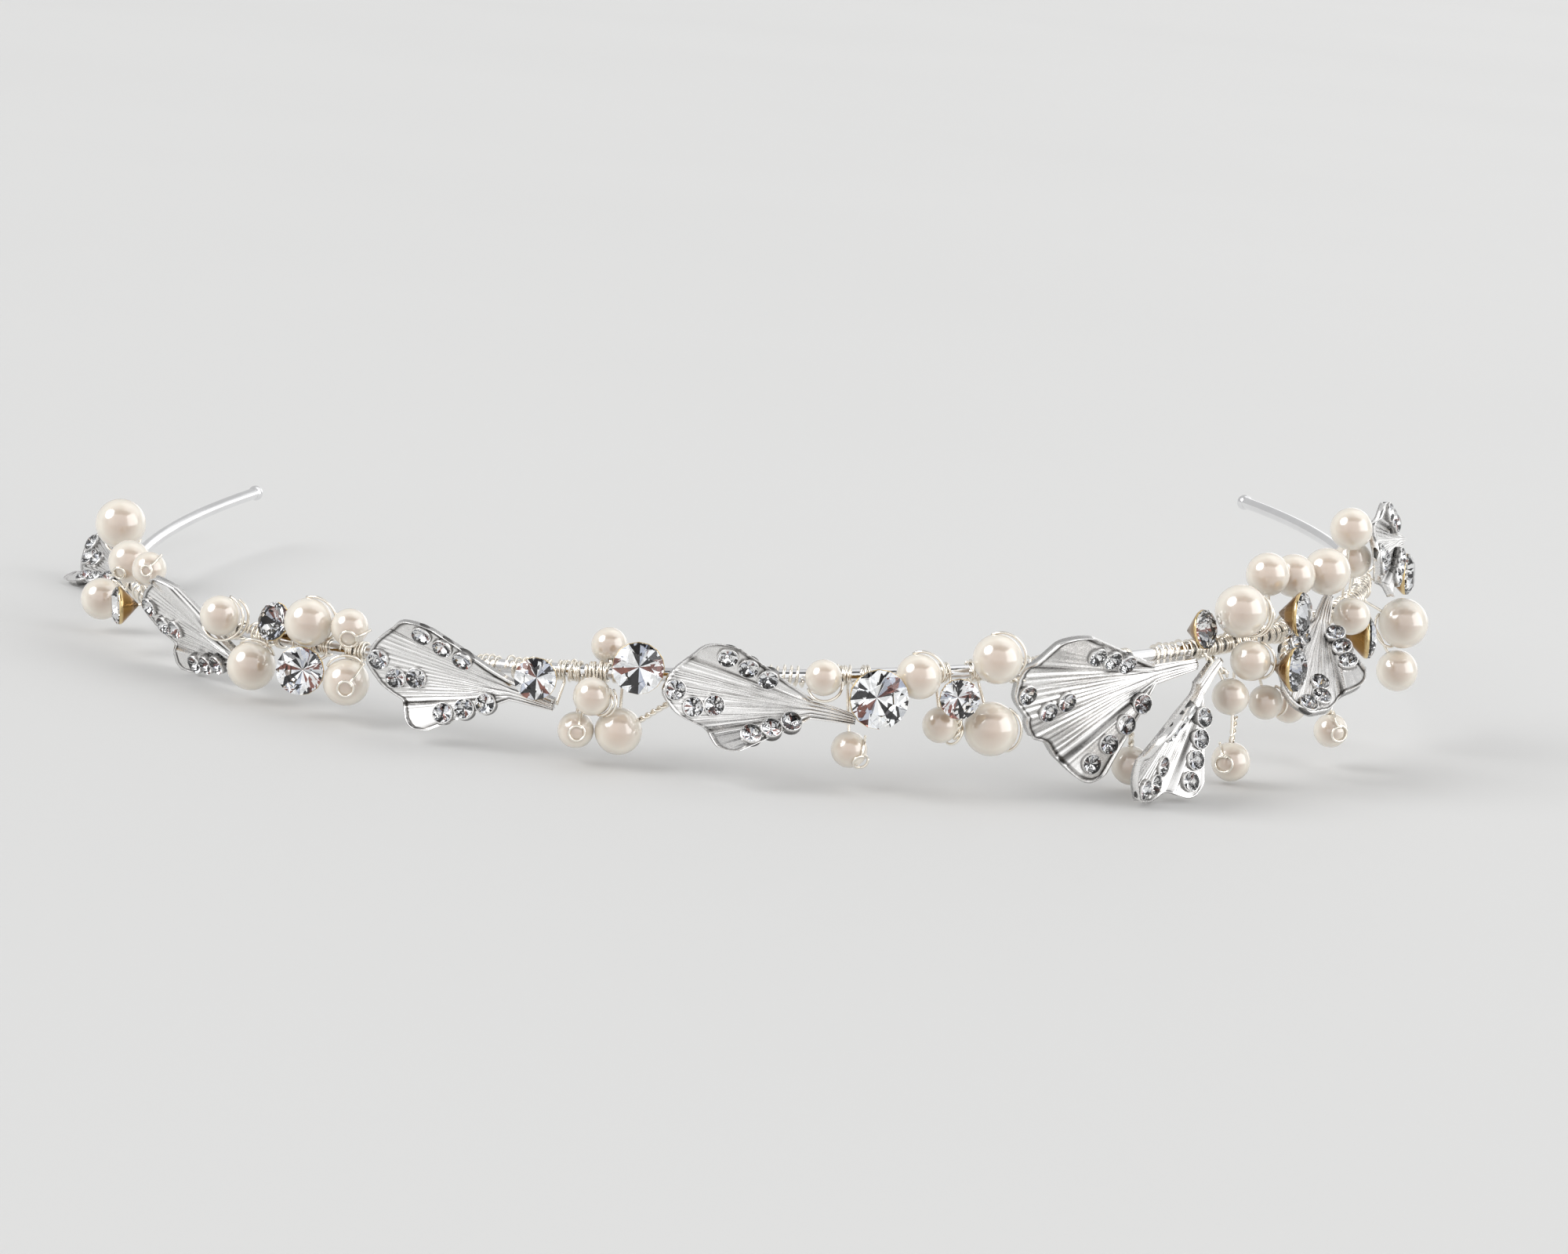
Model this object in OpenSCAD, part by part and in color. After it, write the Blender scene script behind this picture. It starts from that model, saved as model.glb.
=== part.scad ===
// Bridal headband: a slim metal band with cast fan leaves, pearls and foiled stones wired along its front.
// All sizes are in millimetres. The band is drawn flat, crown towards -Y and legs towards +Y, and then laid
// down. Places along the band are given as [along, up, out]: along is measured on the band's centreline from
// the middle of the crown, positive to the right, up is square to the band's plane, and out is away from the
// head.

/* [Band] */
// Diameter of the band's rod
band_d = 1.5; // [1.2:0.1:1.8]
// Radius of the crown arc
crown_r = 80; // [76:1:84]
// Half angle of the crown arc
crown_half = 40; // [36:1:44]
// Radius of each side arc
side_r = 66; // [62:1:70]
// Radius of each leg
leg_r = 150; // [120:5:200]
// Angle that each leg turns inwards
leg_turn = 20; // [14:1:24]
// Diameter of the rounded tips
tip_d = 2; // [1.9:0.1:2.6]

/* [Wire] */
// Diameter of the carrying wire
wire_d = 0.4; // [0.3:0.05:0.5]
// Turns that each wire makes round the band
wire_turns = 1.25; // [1:0.25:2]
// Clearance between the wire and the band
wire_gap = 0.12; // [0.05:0.01:0.15]
// Length of wire that shows past a pearl
wire_end = 0.3; // [0.2:0.05:0.5]

/* [Pearls] */
// Diameter of the drilled hole
bore_d = 0.9; // [0.7:0.05:1]

/* [Foiled stones] */
// Width of the table as a share of the stone's width
table_share = 0.56; // [0.5:0.01:0.65]
// Height of the crown as a share of the stone's width
crown_share = 0.16; // [0.1:0.01:0.2]
// Depth of the foiled cone as a share of the stone's width
cone_share = 0.46; // [0.4:0.01:0.5]

/* [Leaves] */
// Length of the leaf's stem
stem_l = 5; // [4:0.5:6]
// Half width of the stem at its tip
tip_half = 0.6; // [0.4:0.1:0.8]
// Half width of the stem where the fan starts
neck_half = 1.1; // [0.9:0.1:1.4]
// Thickness of the cast metal
leaf_t = 0.8; // [0.7:0.05:1]
// Height of the rolled side edges above the fan
lip_h = 0.8; // [0.4:0.1:1]
// Height of the ruffle along the far edge
ruffle_h = 0.3; // [0:0.1:0.5]

/* [Leaf stones] */
// Diameter of a small stone
small_d = 2.1; // [1.8:0.1:2.2]
// Height of a small stone
small_h = 0.7; // [0.5:0.1:0.9]
// Clearance under a small stone
small_gap = 0.12; // [0.06:0.02:0.2]

/* [Resting pose] */
// Pitch of the band's plane as it lies on a surface
lie_pitch = 0.7; // [-15:0.1:15]
// Roll of the band's plane as it lies on a surface
lie_roll = -4.8; // [-10:0.1:10]
// Sideways shift to the middle of the whole piece
lie_x = 1.6; // [-10:0.1:10]
// Shift along Y to the middle of the whole piece
lie_y = 23; // [-40:0.1:40]
// Height of the band's plane above the surface
lie_z = 12.2; // [0:0.1:40]

/* [Hidden] */
$fn = 48;

// Pearls: where the centre is, its diameter, and the foot of its wire along the band.
ALONG = 0;
UP = 1;
OUT = 2;
WIDE = 3;
FOOT = 4;
PEARLS = [
    // along, up, out, diameter, foot
    [8.5, 0.5, 3.4, 4, 8.5],
    [18.4, 0.5, 3.95, 5, 18.4],
    [26.9, 2, 4, 5.5, 27.5],
    [11.5, -7.8, 1.8, 4, 11.5],
    [21.5, -5.5, 1.5, 4, 21.3],
    [26.8, -6, 2.6, 6, 26.1],
    [-15, 2.5, -2.5, 4, -14.5],
    [-15.5, -2, 3.5, 4.2, -15.9],
    [-17.5, -6, 2.5, 4, -17.6],
    [-13, -6, 2, 5.2, -12.9],
    [-57.5, -2.8, 3.5, 5.5, -57.5],
    [-49.5, 3.1, 2.8, 5.5, -50],
    [-44.5, 3, 2, 4.2, -45.1],
    [-44.3, -3, 3, 5.2, -43.7],
    [-62.9, 2.1, 3.2, 4.6, -62.8],
    [-86.5, 4.5, 2.5, 5, -86.5],
    [-78.5, 5, 3, 4, -78.5],
    [-95.5, -1.5, 4, 5, -95.2],
    [45, -12, 1, 4.4, 45],
    [59.4, 4.1, 2.5, 6, 58.5],
    [67, 7, 0.1, 5, 67.7],
    [72.6, 6.1, 0.1, 5, 72.6],
    [77.7, 6, 1.7, 5.5, 82.1],
    [60, -1.5, 3.5, 4.6, 59.9],
    [58, -5.5, 2.5, 4.2, 57.1],
    [64, -7, 2.5, 4, 64.1],
    [70, -8.5, 1.5, 4, 70],
    [60, -13.5, 1, 4.5, 61.3],
    [87.2, 9.5, 1, 5, 87.2],
    [96.4, -3.1, 5.6, 6, 96],
    [97, -9, 5, 5, 97.4],
    [79.5, -13, 2, 4, 79.3],
    [-96.3, 7.3, 1.5, 6, -96.6],
    [90.6, 5.3, 0.4, 4.5, 90.6],
    [80.6, 0.5, 3.65, 4.4, 80.7],
];

// Foiled stones: where the girdle's centre is, its diameter, the foot of its wire along the band, and how
// far its face swings towards the right and tips upwards.
SWING = 5;
TIP = 6;
CHATONS = [
    // along, up, out, diameter, foot, swing, tip
    [13.9, -1.5, 5.9, 6.4, 13.9, 0, 5],
    [22.5, -2, 5, 4.4, 22.7, -5, 0],
    [-21, 0, 5.5, 4.6, -21, 10, 5],
    [-10.5, 1.5, 4.5, 5.6, -10.5, 5, 5],
    [-55.7, 2.3, 1.9, 4.4, -55.7, 0, 20],
    [-49.1, -2, 4.9, 5.4, -48.6, 25, 5],
    [-83.5, 0, 5, 4.4, -83.5, -15, 0],
    [55, 2.4, 1.5, 4.4, 55, 18, 10],
    [67, 3, 5, 5, 66.3, 20, 0],
    [63.1, -2.4, 7.5, 5, 62.7, 20, 0],
    [84, -2.5, 4.5, 5, 84, 25, 0],
    [105, 1.2, 5.4, 5, 105, -5, 0],
];

// Leaves: place of the stem's tip, heading of the stem from the right towards up, tilt of the far edge
// outwards, roll about the stem, scale, half angle of the fan, height of the cup, scale of the lower lobe,
// shift of the lobes towards the upper edge, reach of the upper stones as a share, or 0 for none, and the
// number of small stones on the lower edge.
TURN = 3;
NOD = 4;
ROLL = 5;
SIZE = 6;
SPREAD = 7;
CUP = 8;
LOWER = 9;
SKEW = 10;
UPPER = 11;
LOW_STONES = 12;
LEAVES = [
    // along, up, out, turn, nod, roll, size, spread, cup, lower, skew, upper, low_stones
    [-20, -3.5, 2.2, 170, 2, -8, 1, 29, 2, 1.04, 0, 1, 3],
    [12, -4.4, 2.3, 171, 2, 8, 1, 27, 2.8, 1, 0, 1, 3],
    [52.5, -1, 2.7, 193, -9, -10, 1.12, 40, 1.5, 1.15, 0.25, 0.76, 4],
    [55.8, -1, 2.9, 219, 11, -18, 1, 30, 2.6, 1.05, 0, 1, 4],
    [-59, -4.8, 0.7, 164.5, 0, -23, 0.97, 30, 0, 1.05, 0, 0, 3],
    [-113.5, -4.3, 0.4, 171, 24, 44, 0.92, 27, 1.9, 1.05, 0, 1, 3],
    [79.1, 2.9, 1.4, 213.5, 15, 51.5, 0.93, 27, 2.6, 1.05, 0, 1, 3],
    [107.8, 4.8, 4.7, 177.5, -11, 5, 0.95, 29, 0, 1.05, 0, 1, 3],
];
LEAF_LETTERS = "abcdefgh";
// The leaves that stand off the band on a wire of their own: row of the leaf, and foot of its wire.
LEFT_LEAF_FEET = [[0, -19.3], [4, -58.8], [5, -113]];
RIGHT_LEAF_FEET = [[7, 108.1]];

// Reach of the fan from the neck to the far edge, for each place across it from -1 to 1.
LOBES = [
    [-1, 9],
    [-0.75, 11.2],
    [-0.5, 11.6],
    [-0.25, 14.8],
    [0, 16.5],
    [0.25, 16],
    [0.5, 14.6],
    [0.75, 13.8],
    [1, 10.2],
];
// Height of the rolled edge as a share of lip_h, for each distance from the middle of the fan.
LIP = [
    [0, 0],
    [0.5, 0],
    [0.6, 0.9],
    [0.75, 1],
    [0.88, 0.8],
    [1, 0.2],
];
LEAF_COLS = [-1, -0.88, -0.75, -0.6, -0.5, -0.25, 0, 0.25, 0.5, 0.6, 0.75, 0.88, 1];
LEAF_ROWS = [-1, -0.5, 0, 0.15, 0.3, 0.45, 0.6, 0.75, 0.88, 1];

// Small stones on a leaf: place along the fan from neck to far edge, and across it.
FAR_STONES = [[0.92, 0.06], [0.84, -0.16], [0.68, -0.12]];
UPPER_STONES = [[0.8, 0.77], [0.61, 0.77], [0.42, 0.75]];
LOWER_STONES = [[0.21, -0.72], [0.42, -0.76], [0.63, -0.76], [0.84, -0.76]];

function number(i) = str(i < 9 ? "0" : "", i + 1);
function pearl_name(i) = str("pearl_", number(i));
function chaton_name(i) = str("chaton_", number(i));
function leaf_name(i) = str("leaf_", LEAF_LETTERS[i]);
function span(list) = [0:len(list) - 1];

// The band's centreline: three arcs on each side, each with its radius, centre, first and last heading.
// A heading is the angle of the outward direction, from -Y towards +X.
side_c = (crown_r - side_r) * [sin(crown_half), -cos(crown_half)];
half_w = side_c[0] + side_r;
leg_c = [half_w - leg_r, side_c[1]];
ARCS = [
    [crown_r, [0, 0], 0, crown_half],
    [side_r, side_c, crown_half, 90],
    [leg_r, leg_c, 90, 90 + leg_turn],
];
deg = 180 / PI;
crown_l = crown_r * crown_half / deg;
side_l = side_r * (90 - crown_half) / deg;

function arc_of(a) = a < crown_l ? 0 : a < crown_l + side_l ? 1 : 2;
function start_of(k) = [0, crown_l, crown_l + side_l][k];
function heading_in(a, k) = ARCS[k][2] + (a - start_of(k)) / ARCS[k][0] * deg;
function heading(along) = sign(along) * heading_in(abs(along), arc_of(abs(along)));
function on_arc(k, h) = ARCS[k][1] + ARCS[k][0] * [sin(h), -cos(h)];
function right_point(a) = on_arc(arc_of(a), heading_in(a, arc_of(a)));
function band_point(along) =
    let (p = right_point(abs(along)))
    [along < 0 ? -p[0] : p[0], p[1], 0];
function along_dir(along) = [cos(heading(along)), sin(heading(along)), 0];
function out_dir(along) = [sin(heading(along)), -cos(heading(along)), 0];
up_dir = [0, 0, 1];
function place(p) = band_point(p[ALONG]) + p[UP] * up_dir + p[OUT] * out_dir(p[ALONG]);

function unit(v) = v / norm(v);
function flat(lists) = [for (l = lists) for (x = l) x];

// Lays the headband down on its side, as it rests by itself.
module laid() {
    translate([lie_x, lie_y, lie_z]) rotate([lie_pitch, lie_roll, 0]) children();
}

// The arcs end just short of the joints between them, where a short sleeve a little thicker than the rod
// closes the gap.
joint_d = band_d + 0.06;
joint_l = 0.5;
joint_gap = 0.2;
arc_fn = 360;
rod_fn = 48;

// A piece of rod on a circle of radius r about centre, between two headings.
module arc_rod(r, centre, from, to) {
    trim = joint_gap / 2 / r * deg;
    translate([centre[0], centre[1], 0])
        rotate([0, 0, from + trim - 90])
            rotate_extrude(angle = to - from - 2 * trim, $fn = arc_fn)
                translate([r, 0]) circle(d = band_d, $fn = rod_fn);
}

module sleeve(p, turn) {
    translate([p[0], p[1], 0]) rotate([0, 90, turn]) cylinder(d = joint_d, h = joint_l, center = true);
}

module band() {
    color("silver") laid() {
        arc_rod(crown_r, [0, 0], -crown_half, crown_half);
        for (side = [-1, 1]) for (k = [1, 2]) {
            arc = ARCS[k];
            mid = side * (arc[2] + arc[3]) / 2;
            half = (arc[3] - arc[2]) / 2;
            start = on_arc(k, arc[2]);
            arc_rod(arc[0], [side * arc[1][0], arc[1][1]], mid - half, mid + half);
            sleeve([side * start[0], start[1]], side * arc[2]);
        }
        for (side = [-1, 1]) {
            tip = on_arc(2, 90 + leg_turn);
            translate([side * tip[0], tip[1], 0]) sphere(d = tip_d);
        }
    }
}

// The wires' round path on the band: the number of straight steps in a turn, how far one turn moves on
// along the band, and the distance of the corners from the band's centreline.
turn_steps = 8;
turn_pitch = 1.6 * wire_d;
wrap_r = (band_d / 2 + wire_gap + wire_d / 2) / cos(180 / turn_steps);

// Direction in which a wire leaves its foot, square to the band, to reach the point end.
function foot_dir(foot, end) =
    let (t = along_dir(foot), v = end - band_point(foot))
    unit(v - (v * t) * t);
function foot_top(foot, end) = band_point(foot) + (wrap_r + wire_d) * foot_dir(foot, end);

// A pearl is drilled along the wire that carries it.
function bore_dir(p) = unit(place(p) - foot_top(p[FOOT], place(p)));
function turn_to(d) = [0, acos(d[2]), atan2(d[1], d[0])];

module pearl(i) {
    p = PEARLS[i];
    color("ivory") laid() translate(place(p)) rotate(turn_to(bore_dir(p))) difference() {
        sphere(d = p[WIDE]);
        cylinder(d = bore_d, h = 2 * p[WIDE], center = true);
    }
}

// A ring of n points square to the axis z.
function ring(r, z, n, turn = 0) =
    [for (k = [0:n - 1]) [r * cos(turn + k * 360 / n), r * sin(turn + k * 360 / n), z]];
// Faces that join ring a to ring b of n points each, by their first points' numbers, b lying above a.
function belt(a, b, n) = flat([for (k = [0:n - 1])
    let (m = (k + 1) % n) [[a + k, b + k, b + m], [a + k, b + m, a + m]]]);
// A flat face of n points that looks up, or down if it is reversed.
function cap(a, n) = [for (k = [1:n - 2]) [a, a + k + 1, a + k]];
function reversed(faces) = [for (f = faces) [f[2], f[1], f[0]]];

// A foiled stone: a cone below the girdle, and above it the crown with its table. The crown's facets are
// 8 kites and 8 triangles between the table's corners and the girdle.
girdle_share = 0.03;
girdle_n = 16;
table_n = 8;
// Direction in which a foiled stone's face looks.
function facing(c) =
    cos(c[TIP]) * sin(c[SWING]) * along_dir(c[ALONG])
        + cos(c[TIP]) * cos(c[SWING]) * out_dir(c[ALONG]) + sin(c[TIP]) * up_dir;
function culet(c) = place(c) - cone_share * c[WIDE] * facing(c);

module chaton(i) {
    c = CHATONS[i];
    r = c[WIDE] / 2;
    edge = girdle_share * c[WIDE];
    table_at = 2 * girdle_n;
    culet_at = table_at + table_n;
    pts = concat(
        ring(r, -edge, girdle_n),
        ring(r, edge, girdle_n),
        ring(r * table_share, c[WIDE] * crown_share, table_n),
        [[0, 0, -cone_share * c[WIDE]]]
    );
    cone = [for (k = [0:girdle_n - 1]) [culet_at, k, (k + 1) % girdle_n]];
    crown = flat([for (k = [0:table_n - 1])
        let (
            at = girdle_n + 2 * k,
            before = girdle_n + (2 * k + girdle_n - 1) % girdle_n,
            after = at + 1,
            t = table_at + k,
            next = table_at + (k + 1) % table_n
        )
        [[t, after, at], [t, at, before], [t, next, after]]]);
    color("lightcyan") laid() translate(place(c))
        rotate([90, 0, heading(c[ALONG])]) rotate([-c[TIP], c[SWING], 0])
            polyhedron(pts, concat(cone, belt(0, girdle_n, girdle_n), crown, cap(table_at, table_n)));
}

// A leaf's surface. g runs from -1 at the stem's tip, through 0 at the neck, to 1 at the far edge, and t
// runs across from -1 at the lower edge to 1 at the upper one. The fan opens from the neck in straight lines.
// The stem is ribbed, and its rib runs out in the first part of the fan, where the rolled edges rise.
rib_height = 0.4;
rib_run = 0.33;
lip_rise = 0.25;
cup_power = 0.8;
ruffle_power = 3;
lower_lobe = -0.3;
stem_lift = 0.5;
fan_lean = 1;
function skewed(leaf, t) = t - leaf[SKEW] * (1 - t * t);
function lobe_scale(leaf, t) = skewed(leaf, t) < lower_lobe ? leaf[LOWER] : 1;
function fan_reach(leaf, t) = lookup(skewed(leaf, t), LOBES) * lobe_scale(leaf, t);
function cup_h(leaf, g, t) = leaf[CUP] * t * t * pow(g, cup_power);
function lip_of(g, t) = lip_h * lookup(abs(t), LIP) * min(1, g / lip_rise);
function ruffle(g, t) = ruffle_h * cos(360 * t) * pow(g, ruffle_power);
function rib_h(g, t) = rib_height * (1 - t * t) * (g < 0 ? 1 : max(0, 1 - g / rib_run));
function leaf_uvw(leaf, g, t) =
    let (
        s = max(g, 0),
        q = min(g, 0) + 1,
        r = s * fan_reach(leaf, t),
        a = leaf[SPREAD] * t - fan_lean,
        half = tip_half + (neck_half - tip_half) * q
    )
    [
        stem_l * q + r * cos(a),
        stem_lift * q + half * t + r * sin(a),
        cup_h(leaf, s, t) + lip_of(s, t) + ruffle(s, t) + rib_h(g, t)
    ];
// The same without the lip and the ruffle, from which the small stones take their direction.
function seat_uvw(leaf, g, t) =
    let (p = leaf_uvw(leaf, g, t)) [p[0], p[1], cup_h(leaf, g, t)];

// A leaf's own directions: u along the stem, v across it, w towards the front.
function about_u(p, a) = [p[0], p[1] * cos(a) - p[2] * sin(a), p[1] * sin(a) + p[2] * cos(a)];
function about_v(p, a) = [p[0] * cos(a) + p[2] * sin(a), p[1], p[2] * cos(a) - p[0] * sin(a)];
function about_w(p, a) = [p[0] * cos(a) - p[1] * sin(a), p[0] * sin(a) + p[1] * cos(a), p[2]];
function turned(leaf, p) =
    about_w(about_v(about_u([p[0], -p[1], p[2]], leaf[ROLL]), -leaf[NOD]), leaf[TURN]);
function leaf_at(leaf, p) =
    let (q = leaf[SIZE] * turned(leaf, p))
    place(leaf) + q[0] * along_dir(leaf[ALONG]) + q[1] * up_dir + q[2] * out_dir(leaf[ALONG]);

module leaf(i) {
    leaf = LEAVES[i];
    m = len(LEAF_ROWS);
    n = len(LEAF_COLS);
    back = m * n;
    front_pts = [for (g = LEAF_ROWS) for (t = LEAF_COLS) leaf_uvw(leaf, g, t)];
    pts = [for (side = [0, 1]) for (p = front_pts) leaf_at(leaf, p - [0, 0, side * leaf_t])];
    quads = flat([for (r = [0:m - 2]) [for (c = [0:n - 2])
        let (k = r * n + c) [k, k + 1, k + n + 1, k + n]]]);
    front_faces = flat([for (q = quads) [[q[0], q[2], q[1]], [q[0], q[3], q[2]]]]);
    back_faces = flat([for (q = quads)
        [[back + q[0], back + q[1], back + q[2]], [back + q[0], back + q[2], back + q[3]]]]);
    rim = concat(
        [for (c = [0:n - 1]) c],
        [for (r = [1:m - 1]) r * n + n - 1],
        [for (c = [1:n - 1]) (m - 1) * n + n - 1 - c],
        [for (r = [1:m - 2]) (m - 1 - r) * n]
    );
    rim_faces = flat([for (k = span(rim))
        let (p = rim[k], q = rim[(k + 1) % len(rim)])
        [[p, q, back + q], [p, back + q, back + p]]]);
    color("gainsboro") laid() polyhedron(pts, concat(front_faces, back_faces, rim_faces));
}

// The small stones of some leaves, as loose cut stones: a flat back, a girdle and a table of 8.
small_n = 8;
small_back = 0.7;
small_table = 0.58;
small_girdle = 0.4;
seat_step = 0.02;
far_shift = 0.84;
function stones_of(leaf) = concat(
    [for (s = FAR_STONES) [s[0], s[1] + far_shift * leaf[SKEW]]],
    [for (s = UPPER_STONES) if (leaf[UPPER] > 0) [s[0] * leaf[UPPER], s[1]]],
    [for (k = [0:leaf[LOW_STONES] - 1]) LOWER_STONES[k]]
);
function stone_points(leaf, g, t) =
    let (
        c = leaf_uvw(leaf, g, t),
        du = seat_uvw(leaf, g + seat_step, t) - seat_uvw(leaf, g - seat_step, t),
        dv = seat_uvw(leaf, g, t + seat_step) - seat_uvw(leaf, g, t - seat_step),
        w = unit(cross(du, dv)),
        u = unit(du),
        v = cross(w, u),
        r = small_d / 2 / leaf[SIZE],
        h = small_h / leaf[SIZE],
        rings = concat(
            ring(small_back * r, small_gap, small_n),
            ring(r, small_gap + small_girdle * h, small_n),
            ring(small_table * r, small_gap + h, small_n, 180 / small_n)
        )
    )
    [for (p = rings) leaf_at(leaf, c + p[0] * u + p[1] * v + p[2] * w)];
stone_faces = concat(
    belt(0, small_n, small_n),
    belt(small_n, 2 * small_n, small_n),
    reversed(cap(0, small_n)),
    cap(2 * small_n, small_n)
);
stone_size = 3 * small_n;

module leaf_stones(leaves) {
    marks = flat([for (leaf = leaves) [for (s = stones_of(leaf)) [leaf, s]]]);
    pts = flat([for (m = marks) stone_points(m[0], m[1][0], m[1][1])]);
    faces = flat([for (k = span(marks)) [for (f = stone_faces) [for (x = f) x + stone_size * k]]]);
    color("white") laid() polyhedron(pts, reversed(faces));
}

// A wire runs round the band, leaves it square to it, and goes through its pearl, or ends behind its stone
// or just short of the stem of its leaf.
wire_sides = 5;
wrap_steps = round(wire_turns * turn_steps);
function wire_path(foot, target, end) =
    let (
        t = along_dir(foot),
        d = foot_dir(foot, target),
        e = cross(t, d)
    )
    concat(
        [for (k = [-wrap_steps:-1])
            let (a = k * 360 / turn_steps)
            band_point(foot) + k * turn_pitch / turn_steps * t + wrap_r * (cos(a) * d + sin(a) * e)],
        [foot_top(foot, target), end]
    );
function pearl_path(p) = wire_path(p[FOOT], place(p), place(p) + (p[WIDE] / 2 + wire_end) * bore_dir(p));
function chaton_path(c) =
    let (end = culet(c) - (wire_end + wire_d / 2) * facing(c))
    wire_path(c[FOOT], end, end);
stem_gap = 0.3;
function leaf_path(row) =
    let (end = leaf_at(LEAVES[row[0]], [-stem_gap - wire_d / 2, 0, -leaf_t / 2]))
    wire_path(row[1], end, end);

// Any direction that is along none of the paths, and the same carried along tangents t without twisting.
side_dir = unit([1, 2, 4]);
function carried(n, t, i = 0) =
    i == len(t) ? [] : let (m = unit(n - (n * t[i]) * t[i])) concat([m], carried(m, t, i + 1));
function tube_points(path) =
    let (
        last = len(path) - 1,
        t = [for (i = [0:last]) unit(path[min(i + 1, last)] - path[max(i - 1, 0)])],
        n = carried(cross(t[0], side_dir), t)
    )
    flat([for (i = [0:last])
        let (b = cross(t[i], n[i]))
        [for (k = [0:wire_sides - 1])
            path[i] + wire_d / 2 * (cos(k * 360 / wire_sides) * n[i] + sin(k * 360 / wire_sides) * b)]]);
function tube_faces(rings, first) =
    let (w = wire_sides)
    concat(
        flat([for (i = [0:rings - 2]) belt(first + i * w, first + (i + 1) * w, w)]),
        reversed(cap(first, w)),
        cap(first + (rings - 1) * w, w)
    );

module wires(pearls, chatons, leaf_feet) {
    paths = concat(
        [for (p = pearls) pearl_path(p)],
        [for (c = chatons) chaton_path(c)],
        [for (row = leaf_feet) leaf_path(row)]
    );
    rings = len(paths[0]);
    pts = flat([for (p = paths) tube_points(p)]);
    faces = flat([for (k = span(paths)) tube_faces(rings, k * rings * wire_sides)]);
    color("whitesmoke") laid() polyhedron(pts, faces);
}

function left(items) = [for (p = items) if (p[ALONG] < 0) p];
function right(items) = [for (p = items) if (p[ALONG] >= 0) p];

band();
wires(left(PEARLS), left(CHATONS), LEFT_LEAF_FEET);  // wire_left
wires(right(PEARLS), right(CHATONS), RIGHT_LEAF_FEET);  // wire_right
leaf_stones(left(LEAVES));  // leaf_stones_left
leaf_stones(right(LEAVES));  // leaf_stones_right
for (i = span(PEARLS)) pearl(i);
for (i = span(CHATONS)) chaton(i);
for (i = span(LEAVES)) leaf(i);
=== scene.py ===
import math
import bpy
import numpy as np
from mathutils import Matrix, Vector


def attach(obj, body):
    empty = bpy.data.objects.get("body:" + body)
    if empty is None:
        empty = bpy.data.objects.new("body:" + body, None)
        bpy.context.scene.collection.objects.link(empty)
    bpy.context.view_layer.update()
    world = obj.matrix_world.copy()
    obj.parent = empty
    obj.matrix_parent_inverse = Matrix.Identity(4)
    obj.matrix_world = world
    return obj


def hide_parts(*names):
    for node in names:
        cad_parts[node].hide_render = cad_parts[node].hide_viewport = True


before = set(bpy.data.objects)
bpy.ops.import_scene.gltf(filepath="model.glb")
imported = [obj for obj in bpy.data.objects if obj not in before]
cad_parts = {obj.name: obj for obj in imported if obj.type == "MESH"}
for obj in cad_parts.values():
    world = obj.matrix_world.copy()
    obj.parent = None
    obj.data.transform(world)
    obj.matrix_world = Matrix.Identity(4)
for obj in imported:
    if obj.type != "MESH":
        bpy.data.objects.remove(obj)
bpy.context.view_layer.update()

dice = np.random.default_rng(7)
mm = 0.001

# Sizes are in millimetres, as in the part's source, and laid() turns them into metres.
band = {
    "rod": 1.5,  # diameter
    "crownHalf": 40.0,  # half angle of the arc over the crown, degrees
    "radii": (80.0, 66.0, 150.0),  # of the crown, the sides and the legs
}
# The flat band is turned about X, then about Y, and shifted.
lying = {"pitch": 0.7, "roll": -4.8, "shift": (1.6, 23.0, 12.2)}

# Pearls: place along the band, up and out, diameter, foot of the wire.
pearls = np.array([
    [8.5, 0.5, 3.4, 4, 8.5], [18.4, 0.5, 3.95, 5, 18.4], [26.9, 2, 4, 5.5, 27.5],
    [11.5, -7.8, 1.8, 4, 11.5], [21.5, -5.5, 1.5, 4, 21.3], [26.8, -6, 2.6, 6, 26.1],
    [-15, 2.5, -2.5, 4, -14.5], [-15.5, -2, 3.5, 4.2, -15.9], [-17.5, -6, 2.5, 4, -17.6],
    [-13, -6, 2, 5.2, -12.9], [-57.5, -2.8, 3.5, 5.5, -57.5], [-49.5, 3.1, 2.8, 5.5, -50],
    [-44.5, 3, 2, 4.2, -45.1], [-44.3, -3, 3, 5.2, -43.7], [-62.9, 2.1, 3.2, 4.6, -62.8],
    [-86.5, 4.5, 2.5, 5, -86.5], [-78.5, 5, 3, 4, -78.5], [-95.5, -1.5, 4, 5, -95.2],
    [45, -12, 1, 4.4, 45], [59.4, 4.1, 2.5, 6, 58.5], [67, 7, 0.1, 5, 67.7], [72.6, 6.1, 0.1, 5, 72.6],
    [77.7, 6, 1.7, 5.5, 82.1], [60, -1.5, 3.5, 4.6, 59.9], [58, -5.5, 2.5, 4.2, 57.1],
    [64, -7, 2.5, 4, 64.1], [70, -8.5, 1.5, 4, 70], [60, -13.5, 1, 4.5, 61.3], [87.2, 9.5, 1, 5, 87.2],
    [96.4, -3.1, 5.6, 6, 96], [97, -9, 5, 5, 97.4], [79.5, -13, 2, 4, 79.3], [-96.3, 7.3, 1.5, 6, -96.6],
    [90.6, 5.3, 0.4, 4.5, 90.6], [80.6, 0.5, 3.65, 4.4, 80.7],
])
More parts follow.
